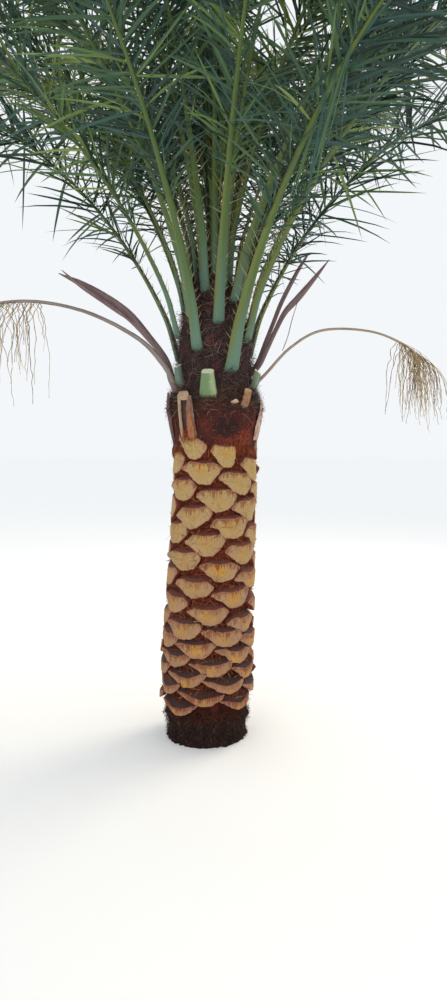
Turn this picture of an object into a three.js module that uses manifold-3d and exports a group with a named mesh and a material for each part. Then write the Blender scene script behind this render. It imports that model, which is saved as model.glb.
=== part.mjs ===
// A young date palm with a trimmed trunk, in millimetres, +Z up.
// The origin is the centre of the flat cut at ground level, and -Y is the front.

import * as THREE from "three";
import Module from "manifold-3d";
import { mergeVertices } from "three/addons/utils/BufferGeometryUtils.js";

// Trunk
const TRUNK_TOP = 1530;
const TRUNK_LEAN = 44;
const LEAN_START = 100;
const LEAN_END = 1500;
const TRUNK_SIDES = 32;
const FLARE_LOBES = 7;
const FLARE_LOBE_DEPTH = 9;
const FLARE_HEIGHT = 110;
// Height and outer radius over the cut leaf bases, from the root flare to the collar.
const TRUNK_PROFILE = [
  [0, 232],
  [45, 212],
  [100, 212],
  [145, 246],
  [300, 243],
  [600, 237],
  [850, 230],
  [1050, 223],
  [1280, 218],
  [TRUNK_TOP, 217],
];

// Collar of fibrous sheaths and the tangled heart that carries the leaves
const SEAT_GAP = 0.3;
const SLIVER = 0.2;
const COLLAR_TOP = 1720;
const CORE_SIDES = 24;
const COLLAR_PROFILE = [
  [TRUNK_TOP + SEAT_GAP, 217],
  [1590, 226],
  [1650, 238],
  [1700, 249],
  [COLLAR_TOP, 246],
];
const HEART_TOP = 2450;
const HEART_PROFILE = [
  [COLLAR_TOP + SEAT_GAP, 236],
  [1785, 214],
  [1850, 200],
  [1950, 192],
  [2040, 188],
  [2110, 177],
  [2180, 159],
  [2250, 132],
  [2320, 100],
  [2390, 70],
  [HEART_TOP, 42],
];

// Leaves set on a rising spiral, one golden angle apart
const GOLDEN_ANGLE = 137.508;
const SPIRAL_PHASE = -41.4;
const FIRST_LEAF = 8;
const LEAF_COUNT = 34;
const SPIRAL_FOOT_INDEX = 3;
const SPIRAL_FOOT = 1785;
const SPIRAL_RISE = 810;
const SPIRAL_FADE = 27.4;
// Leaves that lean a few degrees out of the spiral, by their place in it.
const TURNED = { 8: 5, 16: 6 };

// A leaf leaves the heart at its own angle from the vertical and arches evenly along its length.
const OUTER_SPLAY = 20.8;
const SPLAY_DROP = 11.8;
const OUTER_ARCH = 21.4;
const ARCH_DROP = 5.6;
const AGE_SPAN = 30;
const LEAF_LENGTH = 3450;
const LENGTH_DROP = 0.22;
const SPLIT_LEAVES = 5;
const SPLIT_SHARE = 0.45;
const ROOT_DEPTH = 30;
const BLADE_COLUMNS = [-1, -0.5, 0, 0.5, 1];
const WIDEST_WRAP = 38;
// Half width of the blade's outline by the distance from its foot, as a share of the leaf's length.
const BLADE_OUTLINE = [
  [0, 33],
  [0.14, 19],
  [0.2, 62],
  [0.31, 215],
  [0.5, 262],
  [0.72, 250],
  [0.88, 170],
  [1, 34],
];
const STALK_THICKNESS = 24;
const BLADE_THICKNESS = 5;
const STALK_SHARE = 0.24;
const STALK_DROP = 0.55;

// Unopened leaves standing on the heart's tip
const SPEAR_SIDES = 10;
const SPEAR_PROFILE = [
  [HEART_TOP + SEAT_GAP, 38],
  [2700, 42],
  [3300, 48],
  [3900, 40],
  [4500, 22],
  [4880, 5],
];

const COLOURS = {
  trunk: 0xc9a063,
  collar: 0x6e2d1e,
  heart: 0x46302a,
  frond: 0x4f7350,
  spear: 0x8fa85a,
  greenStub: 0x8d9a55,
  brownStub: 0x9a6038,
  dryStub: 0xb5a184,
  spathe: 0x786469,
  fruitStalk: 0x82786f,
  strand: 0xb9a078,
};

const wasm = await Module();
wasm.setup();

function radians(degrees) {
  return THREE.MathUtils.degToRad(degrees);
}

// The value at x of a line through [x, value] pairs.
function along(pairs, x) {
  const next = pairs.findIndex((pair) => pair[0] >= x);
  if (next === 0) return pairs[0][1];
  if (next < 0) return pairs[pairs.length - 1][1];
  const [x0, v0] = pairs[next - 1];
  const [x1, v1] = pairs[next];
  return v0 + ((v1 - v0) * (x - x0)) / (x1 - x0);
}

function polar(radius, azimuth, z) {
  return new THREE.Vector3(radius * Math.cos(azimuth), radius * Math.sin(azimuth), z);
}

// A closed body through rings of equal count. Each end is closed by a strip
// between the ring's first half and its second half. The two halves have their
// diagonals the same way, so the walls of a thin blade stay apart.
function loft(rings) {
  const count = rings[0].length;
  const last = (rings.length - 1) * count;
  const index = [];
  for (let k = 0; k + 1 < rings.length; k++) {
    for (let j = 0; j < count; j++) {
      const a = k * count + j;
      const b = k * count + ((j + 1) % count);
      if (2 * j < count) index.push(a, b, b + count, a, b + count, a + count);
      else index.push(a, b, a + count, b, b + count, a + count);
    }
  }
  for (let j = 0; j + 1 < count / 2; j++) {
    const opposite = count - 1 - j;
    index.push(j, opposite - 1, j + 1, j, opposite, opposite - 1);
    index.push(last + j, last + j + 1, last + opposite - 1);
    index.push(last + j, last + opposite - 1, last + opposite);
  }
  const geometry = new THREE.BufferGeometry().setFromPoints(rings.flat());
  geometry.setIndex(index);
  return facingOut(geometry);
}

function facingOut(geometry) {
  const points = geometry.getAttribute("position");
  const index = geometry.getIndex();
  const corner = [new THREE.Vector3(), new THREE.Vector3(), new THREE.Vector3()];
  let volume = 0;
  for (let f = 0; f < index.count; f += 3) {
    corner.forEach((p, n) => p.fromBufferAttribute(points, index.getX(f + n)));
    volume += corner[0].dot(corner[1].clone().cross(corner[2]));
  }
  if (volume < 0) {
    for (let f = 0; f < index.count; f += 3) {
      const second = index.getX(f + 1);
      index.setX(f + 1, index.getX(f + 2));
      index.setX(f + 2, second);
    }
  }
  return geometry;
}

function toSolid(geometry) {
  const bare = geometry.clone();
  bare.deleteAttribute("normal");
  bare.deleteAttribute("uv");
  const merged = mergeVertices(bare, 1e-3);
  const vertProperties = new Float32Array(merged.getAttribute("position").array);
  const triVerts = new Uint32Array(merged.getIndex().array);
  return new wasm.Manifold(new wasm.Mesh({ numProp: 3, vertProperties, triVerts }));
}

function toGeometry(solid) {
  const mesh = solid.getMesh();
  const geometry = new THREE.BufferGeometry();
  geometry.setAttribute("position", new THREE.BufferAttribute(mesh.vertProperties, 3));
  geometry.setIndex(new THREE.BufferAttribute(mesh.triVerts, 1));
  return geometry;
}

// What is left of a piece outside the collar and the heart, with the cut's slivers merged.
function outside(geometry, core) {
  return toGeometry(toSolid(geometry).subtract(core).asOriginal().simplify(SLIVER));
}

function named(name, geometry, colour, roughness) {
  const material = new THREE.MeshStandardMaterial({ color: colour, roughness, metalness: 0 });
  const mesh = new THREE.Mesh(geometry, material);
  mesh.name = name;
  return mesh;
}

// A body of revolution from [height, radius] pairs, grown outwards by an offset.
function turned(profile, sides, grow = 0) {
  const points = profile.map(([z, radius]) => new THREE.Vector2(radius + grow, z));
  const foot = new THREE.Vector2(0, points[0].y - grow);
  const tip = new THREE.Vector2(0, points[points.length - 1].y + grow);
  points[0].y -= grow;
  points[points.length - 1].y += grow;
  const geometry = new THREE.LatheGeometry([foot, ...points, tip], sides);
  return geometry.rotateX(Math.PI / 2);
}

// Trunk: rings along the leaning axis, with shallow lobes where the roots spread
function leanAt(z) {
  const share = THREE.MathUtils.clamp((z - LEAN_START) / (LEAN_END - LEAN_START), 0, 1);
  return (TRUNK_LEAN * (1 - Math.cos(Math.PI * share))) / 2;
}

function trunkRing(z, radius) {
  const lobe = FLARE_LOBE_DEPTH * Math.max(0, 1 - z / FLARE_HEIGHT);
  const ring = [];
  for (let j = 0; j < TRUNK_SIDES; j++) {
    const azimuth = (j * 2 * Math.PI) / TRUNK_SIDES;
    const point = polar(radius + lobe * Math.cos(FLARE_LOBES * azimuth), azimuth, z);
    point.x += leanAt(z);
    ring.push(point);
  }
  return ring;
}

function trunkGeometry() {
  return loft(TRUNK_PROFILE.map(([z, radius]) => trunkRing(z, radius)));
}

// Fronds: thin blades that lie on surfaces nested one inside the next
function ageOf(place) {
  return (place - FIRST_LEAF) / AGE_SPAN;
}

function leafFoot(place) {
  const climb = 1 - Math.exp(-(place - SPIRAL_FOOT_INDEX) / SPIRAL_FADE);
  return SPIRAL_FOOT + SPIRAL_RISE * climb;
}

// The midrib of a leaf at a distance from its foot: radius, height and angle from the vertical.
function midrib(place, distance) {
  const age = ageOf(place);
  const start = radians(OUTER_SPLAY - SPLAY_DROP * age);
  const bend = radians(OUTER_ARCH - ARCH_DROP * age) / 1000;
  const angle = start + bend * distance;
  const foot = leafFoot(place);
  return {
    radius: along(HEART_PROFILE, foot) - ROOT_DEPTH + (Math.cos(start) - Math.cos(angle)) / bend,
    z: foot + (Math.sin(angle) - Math.sin(start)) / bend,
    angle,
  };
}

function bladeRing(place, distance, length) {
  const share = distance / length;
  const slim = 1 - STALK_DROP * ageOf(place) * Math.max(0, 1 - share / STALK_SHARE);
  const half = along(BLADE_OUTLINE, share) * slim;
  const stalk = STALK_THICKNESS * (1 - STALK_DROP * ageOf(place));
  const thickness = along([[0, stalk], [STALK_SHARE, BLADE_THICKNESS]], share);
  const azimuth = radians(SPIRAL_PHASE - GOLDEN_ANGLE * place + (TURNED[place] ?? 0));
  const rib = midrib(place, distance);
  const face = (side) => {
    const radius = rib.radius + side * (thickness / 2) * Math.cos(rib.angle);
    const z = rib.z - side * (thickness / 2) * Math.sin(rib.angle);
    const wrap = Math.min(half / rib.radius, radians(WIDEST_WRAP));
    return BLADE_COLUMNS.map((column) => polar(radius, azimuth + column * wrap, z));
  };
  return [...face(1), ...face(-1).reverse()];
}

// The part of a blade between two shares of its length, with a ring at each bend of its outline.
function bladeGeometry(place, length, from, to) {
  const bends = BLADE_OUTLINE.map((pair) => pair[0]).filter((share) => share > from && share < to);
  return loft([from, ...bends, to].map((share) => bladeRing(place, share * length, length)));
}

function fronds(core) {
  const meshes = [];
  for (let n = 0; n < LEAF_COUNT; n++) {
    const place = FIRST_LEAF + n;
    const length = LEAF_LENGTH * (1 - LENGTH_DROP * ageOf(place));
    const name = `frond_${String(n + 1).padStart(2, "0")}`;
    const rising = bladeGeometry(place, length, 0, n < SPLIT_LEAVES ? SPLIT_SHARE : 1);
    const suffix = n < SPLIT_LEAVES ? "_rising" : "";
    meshes.push(named(name + suffix, outside(rising, core), COLOURS.frond, 0.6));
    if (n < SPLIT_LEAVES) {
      const arching = bladeGeometry(place, length, SPLIT_SHARE + SEAT_GAP / length, 1);
      meshes.push(named(`${name}_arching`, arching, COLOURS.frond, 0.6));
    }
  }
  return meshes;
}

// Limbs: tapering bodies of flat oval section along a curve in an upright plane
const OVAL_SIDES = 8;

// The rings of a limb from stations of [reach, height, width, thickness], with the reach
// measured from the palm's axis. The limb swings sideways by some degrees along its length.
function limbRings({ azimuth, stations, swing = 0 }) {
  return stations.map(([reach, z, width, thickness], k) => {
    const before = stations[Math.max(0, k - 1)];
    const after = stations[Math.min(stations.length - 1, k + 1)];
    const tilt = Math.atan2(after[0] - before[0], after[1] - before[1]);
    const turn = radians(azimuth + (swing * k) / (stations.length - 1));
    const ring = [];
    for (let j = 0; j < OVAL_SIDES; j++) {
      const angle = ((j + 0.5) * 2 * Math.PI) / OVAL_SIDES;
      const across = (width / 2) * Math.cos(angle);
      const out = (thickness / 2) * Math.sin(angle);
      const point = polar(reach + out * Math.cos(tilt), turn, z - out * Math.sin(tilt));
      point.x -= across * Math.sin(turn);
      point.y += across * Math.cos(turn);
      ring.push(point);
    }
    return ring;
  });
}

// Cut leaf stalks still standing on the collar and the heart
const STUBS = [
  { name: "dry_stub_left", azimuth: -117, swing: -19, colour: COLOURS.dryStub,
    stations: [[205, 1540, 92, 40], [232, 1600, 62, 26], [262, 1720, 58, 22], [262, 1812, 54, 18]] },
  { name: "brown_stub_right", azimuth: -45, colour: COLOURS.brownStub,
    stations: [[215, 1730, 64, 30], [246, 1770, 48, 26], [258, 1818, 40, 22]] },
  { name: "green_stub_front", azimuth: -101, colour: COLOURS.greenStub,
    stations: [[196, 1775, 104, 40], [222, 1800, 84, 36], [240, 1860, 66, 32], [250, 1922, 56, 28]] },
  { name: "green_stub_left", azimuth: -156, colour: COLOURS.greenStub,
    stations: [[180, 1835, 80, 34], [206, 1870, 58, 30], [222, 1945, 46, 26]] },
  { name: "green_stub_right", azimuth: -16, colour: COLOURS.greenStub,
    stations: [[180, 1805, 80, 34], [214, 1840, 58, 30], [232, 1920, 46, 26]] },
  { name: "green_stub_back_left", azimuth: 129, colour: COLOURS.greenStub,
    stations: [[180, 1795, 92, 36], [216, 1830, 66, 32], [236, 1925, 52, 28]] },
  { name: "green_stub_back_right", azimuth: 76, colour: COLOURS.greenStub,
    stations: [[180, 1850, 84, 36], [208, 1885, 62, 32], [226, 1975, 48, 28]] },
];

// Dried flower sheaths, boat shaped and pointed
const SPATHES = [
  { name: "spathe_left", azimuth: 174,
    stations: [[170, 1800, 34, 20], [236, 1905, 42, 22], [330, 2020, 58, 22], [470, 2160, 74, 20],
      [640, 2330, 56, 14], [800, 2415, 10, 5]] },
  { name: "spathe_right_lower", azimuth: 15,
    stations: [[150, 1870, 36, 20], [236, 1945, 38, 20], [300, 2060, 42, 20], [345, 2150, 40, 18],
      [465, 2285, 44, 16], [610, 2460, 8, 5]] },
  { name: "spathe_right_upper", azimuth: 27,
    stations: [[150, 1870, 30, 18], [236, 1960, 32, 18], [300, 2075, 34, 16], [350, 2190, 36, 15],
      [430, 2350, 34, 13], [535, 2510, 8, 5]] },
];

// Old fruit stalks. Each is one curve: it rises, hangs and ends in its bunch of strands.
const STALK_CREST = 3;
const STALK_END = 6;
const FRUIT_STALKS = [
  { side: "left", azimuth: 189,
    stations: [[170, 1790, 36, 18], [262, 1950, 30, 15], [395, 2075, 22, 12], [640, 2190, 17, 11],
      [900, 2232, 15, 10], [1120, 2206, 13, 9], [1270, 2130, 12, 8], [1320, 2050, 120, 140],
      [1330, 1900, 210, 220], [1320, 1760, 190, 190], [1300, 1640, 60, 70]] },
  { side: "right", azimuth: 3,
    stations: [[170, 1800, 30, 16], [262, 1890, 22, 13], [395, 2030, 15, 11], [560, 2118, 12, 10],
      [800, 2116, 11, 9], [980, 2052, 11, 9], [1100, 1960, 11, 8], [1140, 1880, 110, 130],
      [1150, 1780, 200, 210], [1145, 1680, 170, 180], [1135, 1590, 50, 60]] },
];

// Rings moved by the seat gap along their limb.
function seated([first, second, ...rest]) {
  const step = second[0].clone().sub(first[0]).normalize().multiplyScalar(SEAT_GAP);
  return [first.map((point) => point.clone().add(step)), second, ...rest];
}

function fruitStalk(stalk, core) {
  const rings = limbRings(stalk);
  const rising = loft(rings.slice(0, STALK_CREST + 1));
  const hanging = loft(seated(rings.slice(STALK_CREST, STALK_END + 1)));
  const strands = loft(seated(rings.slice(STALK_END)));
  const name = `fruit_stalk_${stalk.side}`;
  return [
    named(`${name}_rising`, outside(rising, core), COLOURS.fruitStalk, 0.8),
    named(`${name}_hanging`, hanging, COLOURS.fruitStalk, 0.8),
    named(`strands_${stalk.side}`, strands, COLOURS.strand, 0.85),
  ];
}

const palm = new THREE.Group();
palm.add(named("trunk", trunkGeometry(), COLOURS.trunk, 0.85));

const crown = new THREE.Group();
crown.position.x = TRUNK_LEAN;
palm.add(crown);
crown.add(named("fibre_collar", turned(COLLAR_PROFILE, CORE_SIDES), COLOURS.collar, 0.9));
crown.add(named("crown_heart", turned(HEART_PROFILE, CORE_SIDES), COLOURS.heart, 0.95));
crown.add(named("spear_leaves", turned(SPEAR_PROFILE, SPEAR_SIDES), COLOURS.spear, 0.6));

const collarSolid = toSolid(turned(COLLAR_PROFILE, CORE_SIDES, SEAT_GAP));
const heartSolid = toSolid(turned(HEART_PROFILE, CORE_SIDES, SEAT_GAP));
const core = collarSolid.add(heartSolid);

crown.add(...fronds(core));
for (const stub of STUBS) {
  crown.add(named(stub.name, outside(loft(limbRings(stub)), core), stub.colour, 0.75));
}
for (const spathe of SPATHES) {
  crown.add(named(spathe.name, outside(loft(limbRings(spathe)), core), COLOURS.spathe, 0.7));
}
for (const stalk of FRUIT_STALKS) {
  crown.add(...fruitStalk(stalk, core));
}

export default palm;
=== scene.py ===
"""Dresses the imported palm: a trimmed trunk, its fibrous crown and its fronds, in metres."""

import logging
import math
from dataclasses import dataclass, field
from enum import Enum
from typing import Iterable

import bpy
import numpy as np
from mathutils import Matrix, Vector


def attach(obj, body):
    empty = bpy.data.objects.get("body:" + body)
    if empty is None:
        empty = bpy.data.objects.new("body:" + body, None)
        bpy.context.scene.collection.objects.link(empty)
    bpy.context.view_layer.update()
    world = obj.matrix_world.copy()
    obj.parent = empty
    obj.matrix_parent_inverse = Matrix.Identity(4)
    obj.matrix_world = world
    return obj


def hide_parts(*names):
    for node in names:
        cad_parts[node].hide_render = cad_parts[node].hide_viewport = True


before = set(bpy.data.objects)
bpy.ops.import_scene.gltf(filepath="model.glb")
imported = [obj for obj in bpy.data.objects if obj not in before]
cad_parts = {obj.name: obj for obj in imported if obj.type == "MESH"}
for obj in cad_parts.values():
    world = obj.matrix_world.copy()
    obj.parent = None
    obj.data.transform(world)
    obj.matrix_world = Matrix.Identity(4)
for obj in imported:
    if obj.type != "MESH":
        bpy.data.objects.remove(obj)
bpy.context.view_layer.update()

log = logging.getLogger("palm")

Array = np.ndarray
Pair = tuple[float, float]
Triple = tuple[float, float, float]
Quadruple = tuple[float, float, float, float]
Colour = Triple
Table = tuple[Pair, ...]
Station = Quadruple
Stations = tuple[Station, ...]

MM = 0.001
TURN = 2 * math.pi
UP = np.array([0, 0, 1.0])
BODY = "root"
GOLDEN_ANGLE = 137.508
CROWN_X = 0.044
CROWN_AXIS = np.array([CROWN_X, 0, 0])
LENS_PLACE = (0.09, -3.9, 1.5)
LENS_PITCH = 3.81
LENS_MM = 27.0
PICTURE_FOCUS = 750.0
PICTURE_MIDDLE = (223.5, 500.0)


class Slot(Enum):
    """The record's material slots."""

    BARK = "leaf_base_bark"
    COLLAR = "collar_fibre"
    HEART = "heart_fibre"
    FROND = "frond_green"
    GREEN_STALK = "green_stalk"
    DRY_STALK = "dry_stalk"
    SPATHE = "spathe"
    FRUIT_STALK = "fruit_stalk"
    STRAND = "fruit_strand"


class Whorl(Enum):
    """The crown's leaves by age, as first place and last place on the spiral."""

    OUTER = (8, 18)
    MIDDLE = (19, 29)
    INNER = (30, 41)


def paint(colour: Colour) -> Quadruple:
    """Turns a screen colour into the linear colour of a shader.

    Args:
        colour: red, green and blue from 0 to 255.

    Returns:
        Linear red, green, blue and an alpha of one.
    """
    linear = []
    for channel in colour:
        share = channel / 255
        low = share <= 0.04045
        linear.append(share / 12.92 if low else ((share + 0.055) / 1.055) ** 2.4)
    return (*linear, 1.0)


def unit(vectors: Array) -> Array:
    """Scales vectors to length one.

    Args:
        vectors: vectors along the last axis.

    Returns:
        The same directions at unit length.
    """
    length = np.linalg.norm(vectors, axis=-1, keepdims=True)
    return vectors / np.maximum(length, 1e-12)


def smooth(x: Array, low: float, high: float) -> Array:
    """Rises smoothly from 0 at low to 1 at high.

    Args:
        x: values.
        low: where the rise starts.
        high: where it ends.

    Returns:
        The share of the rise at each value.
    """
    share = np.clip((np.asarray(x, float) - low) / (high - low), 0, 1)
    return share * share * (3 - 2 * share)


def along(pairs: Iterable[Pair], x: Array) -> Array:
    """Reads a line through pairs.

    Args:
        pairs: (position, value) pairs in rising order of position.
        x: positions to read at.

    Returns:
        The values there.
    """
    table = np.asarray(list(pairs), float)
    return np.interp(x, table[:, 0], table[:, 1])


def polar(radius: Array, azimuth: Array, z: Array) -> Array:
    """Turns polar places into points.

    Args:
        radius: distances from the axis.
        azimuth: angles from +X, in radians.
        z: heights.

    Returns:
        Points, with x, y and z along the last axis.
    """
    radius, azimuth, z = np.broadcast_arrays(radius, azimuth, z)
    return np.stack([radius * np.cos(azimuth), radius * np.sin(azimuth), z], axis=-1)


def ways(azimuth: Array | float) -> tuple[Array, Array]:
    """Gives the level directions at azimuths.

    Args:
        azimuth: angles from +X, in radians.

    Returns:
        The ways outward and the ways counterclockwise, seen from above.
    """
    cosine, sine = np.cos(azimuth), np.sin(azimuth)
    zero = np.zeros_like(cosine)
    return np.stack([cosine, sine, zero], axis=-1), np.stack([-sine, cosine, zero], axis=-1)


def lumps(
    azimuth: Array, z: Array, rng: np.random.Generator, waves: int, turns: int, rise: float
) -> Array:
    """Adds random waves that close round the axis into an uneven surface.

    Args:
        azimuth: angles in radians.
        z: heights in metres.
        rng: the source of randomness.
        waves: how many waves are added.
        turns: the most waves round the axis.
        rise: the most waves in a metre of height, in radians.

    Returns:
        Heights of the surface, about -1 to 1.
    """
    total = np.zeros(np.broadcast(azimuth, z).shape)
    for _ in range(waves):
        round_axis = rng.integers(1, turns + 1)
        up_axis = rng.uniform(-rise, rise)
        total = total + np.sin(round_axis * azimuth + up_axis * z + rng.uniform(0, TURN))
    return total / math.sqrt(waves)


def smooth_path(stations: Iterable[Station], steps: int) -> Array:
    """Runs a smooth curve through stations.

    Args:
        stations: one row for each station.
        steps: points for each span between two stations.

    Returns:
        Rows along the curve, both ends included.
    """
    rows = np.asarray(stations, float)
    padded = np.vstack([2 * rows[0] - rows[1], rows, 2 * rows[-1] - rows[-2]])
    found = []
    for k in range(1, len(rows)):
        a, b, c, d = padded[k - 1 : k + 3]
        for t in np.linspace(0, 1, steps, endpoint=False):
            bend = (2 * a - 5 * b + 4 * c - d) * t * t + (3 * b - a - 3 * c + d) * t**3
            found.append(0.5 * (2 * b + (c - a) * t + bend))
    found.append(rows[-1])
    return np.array(found)


@dataclass(frozen=True)
class Patches:
    """Soft oval patches of the picture: middle x, middle y, half width, half height and strength."""

    rows: tuple[tuple[float, float, float, float, float], ...]

    def strength(self, points: Array) -> Array:
        """Gives how strongly points of the frame fall in the patches, seen from the lens.

        Args:
            points: rows of x, y and z.

        Returns:
            The strongest patch's strength at each point.
        """
        away = points - np.array(LENS_PLACE)
        pitch = math.radians(LENS_PITCH)
        ahead = away[:, 1] * math.cos(pitch) - away[:, 2] * math.sin(pitch)
        above = away[:, 2] * math.cos(pitch) + away[:, 1] * math.sin(pitch)
        x = PICTURE_MIDDLE[0] + PICTURE_FOCUS * away[:, 0] / ahead
        y = PICTURE_MIDDLE[1] - PICTURE_FOCUS * above / ahead
        found = np.zeros(len(points))
        for middle_x, middle_y, wide, tall, strength in self.rows:
            spot = np.exp(-(((x - middle_x) / wide) ** 4) - ((y - middle_y) / tall) ** 4)
            found = np.maximum(found, strength * spot)
        return found


class MeshSketch:
    """Gathers points, faces and point values, and turns them into one mesh object."""

    def __init__(self) -> None:
        """Starts with no points."""
        self.points: list[Array] = []
        self.faces: list[Array] = []
        self.slots: list[Array] = []
        self.values: list[dict[str, Array]] = []
        self.count = 0

    def add(self, points: Array, faces: Array, slots: Array | int = 0, **values: Array | float) -> None:
        """Adds points and the faces between them.

        Args:
            points: points along the last axis.
            faces: rows of point numbers, counted from this call's first point.
            slots: each face's material number, or one for all.
            values: point values by name, one for each point or one for all.
        """
        flat = points.reshape(-1, 3)
        self.faces.append(faces + self.count)
        self.slots.append(np.broadcast_to(slots, len(faces)).astype(np.int32))
        self.points.append(flat)
        spread = {k: np.broadcast_to(v, points.shape[:-1]).reshape(-1) for k, v in values.items()}
        self.values.append(spread)
        self.count += len(flat)

    def add_sheets(
        self, points: Array, closed: bool = False, slots: Array | int = 0, **values: Array | float
    ) -> None:
        """Adds a grid of points as a sheet, or as a tube if its columns close, or many of one make.

        Args:
            points: rows by columns of points, after their count where there are many sheets.
            closed: whether each sheet's last column joins its first.
            slots: each sheet's material number, or one for all.
            values: point values by name.
        """
        rows, columns = points.shape[-3:-1]
        count = points.size // (3 * rows * columns)
        row, column = (at.ravel() for at in np.indices((rows - 1, columns if closed else columns - 1)))
        here, after = row * columns + column, row * columns + (column + 1) % columns
        corners = np.stack([here, after, after + columns, here + columns], axis=-1)
        starts = np.arange(count) * rows * columns
        each = np.repeat(np.broadcast_to(slots, count), len(corners))
        self.add(points, (corners + starts[:, None, None]).reshape(-1, 4), each, **values)

    def add_cap(self, ring: Array, facing_back: bool = False, slots: int = 0, **values: float) -> None:
        """Closes a ring with a fan round its middle.

        Args:
            ring: the ring's points in order.
            facing_back: whether the fan faces against the ring's order.
            slots: the fan's material number.
            values: point values by name, one for all.
        """
        points = np.vstack([ring, ring.mean(axis=0)])
        here = np.arange(len(ring))
        after = (here + 1) % len(ring)
        middle = np.full(len(ring), len(ring))
        order = [after, here, middle] if facing_back else [here, after, middle]
        self.add(points, np.stack(order, axis=-1), slots, **values)

    def build(self, name: str, materials: Iterable[bpy.types.Material]) -> bpy.types.Object:
        """Makes the mesh object, shaded smooth.

        Args:
            name: the object's name.
            materials: its materials, in the order of the material numbers.

        Returns:
            The object, linked to the scene.
        """
        mesh = bpy.data.meshes.new(name)
        points = np.vstack(self.points)
        corners = np.concatenate([f.ravel() for f in self.faces]).astype(np.int32)
        sizes = np.concatenate([np.full(len(f), f.shape[1]) for f in self.faces])
        starts = np.concatenate([[0], np.cumsum(sizes)[:-1]]).astype(np.int32)
        mesh.vertices.add(len(points))
        mesh.vertices.foreach_set("co", points.astype(np.float32).ravel())
        mesh.loops.add(len(corners))
        mesh.loops.foreach_set("vertex_index", corners)
        mesh.polygons.add(len(sizes))
        mesh.polygons.foreach_set("loop_start", starts)
        for material in materials:
            mesh.materials.append(material)
        mesh.polygons.foreach_set("material_index", np.concatenate(self.slots))
        mesh.update(calc_edges=True)
        mesh.polygons.foreach_set("use_smooth", np.ones(len(sizes), bool))
        for value in sorted({k for spread in self.values for k in spread}):
            layer = mesh.attributes.new(value, "FLOAT", "POINT")
            parts = [s.get(value, np.zeros(len(p))) for s, p in zip(self.values, self.points)]
            layer.data.foreach_set("value", np.concatenate(parts).astype(np.float32))
        mesh.update()
        piece = bpy.data.objects.new(name, mesh)
        bpy.context.scene.collection.objects.link(piece)
        return piece


def declare(piece: bpy.types.Object, nodes: Iterable[str]) -> None:
    """Ties a piece to the frame and reports it.

    Args:
        piece: the finished object.
        nodes: the frame's nodes that it stands for.
    """
    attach(piece, BODY)
    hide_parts(*nodes)
    corners = len(piece.data.loops)
    log.info("%s: %d triangles", piece.name, corners - 2 * len(piece.data.polygons))


class Signal:
    """A shader socket in an expression: the operators add Math nodes."""

    def __init__(self, graph: "ShaderGraph", socket: bpy.types.NodeSocket) -> None:
        """Wraps a socket of a graph."""
        self.graph = graph
        self.socket = socket

    def __add__(self, other: "Signal | float") -> "Signal":
        """Adds."""
        return self.graph.maths("ADD", self, other)

    def __radd__(self, other: float) -> "Signal":
        """Adds to a number."""
        return self.graph.maths("ADD", other, self)

    def __sub__(self, other: "Signal | float") -> "Signal":
        """Subtracts."""
        return self.graph.maths("SUBTRACT", self, other)

    def __rsub__(self, other: float) -> "Signal":
        """Subtracts from a number."""
        return self.graph.maths("SUBTRACT", other, self)

    def __mul__(self, other: "Signal | float") -> "Signal":
        """Multiplies."""
        return self.graph.maths("MULTIPLY", self, other)

    def __rmul__(self, other: float) -> "Signal":
        """Multiplies a number."""
        return self.graph.maths("MULTIPLY", other, self)

    def __abs__(self) -> "Signal":
        """Drops the sign."""
        return self.graph.maths("ABSOLUTE", self)

    def rise(self, low: float, high: float) -> "Signal":
        """Rises smoothly from 0 at low to 1 at high.

        Args:
            low: where the rise starts.
            high: where it ends.

        Returns:
            The share of the rise.
        """
        settings = {"interpolation_type": "SMOOTHSTEP"}
        sockets = {"Value": self, "From Min": low, "From Max": high}
        ranged = self.graph.node("ShaderNodeMapRange", settings, sockets)
        return Signal(self.graph, ranged.outputs["Result"])


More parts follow.
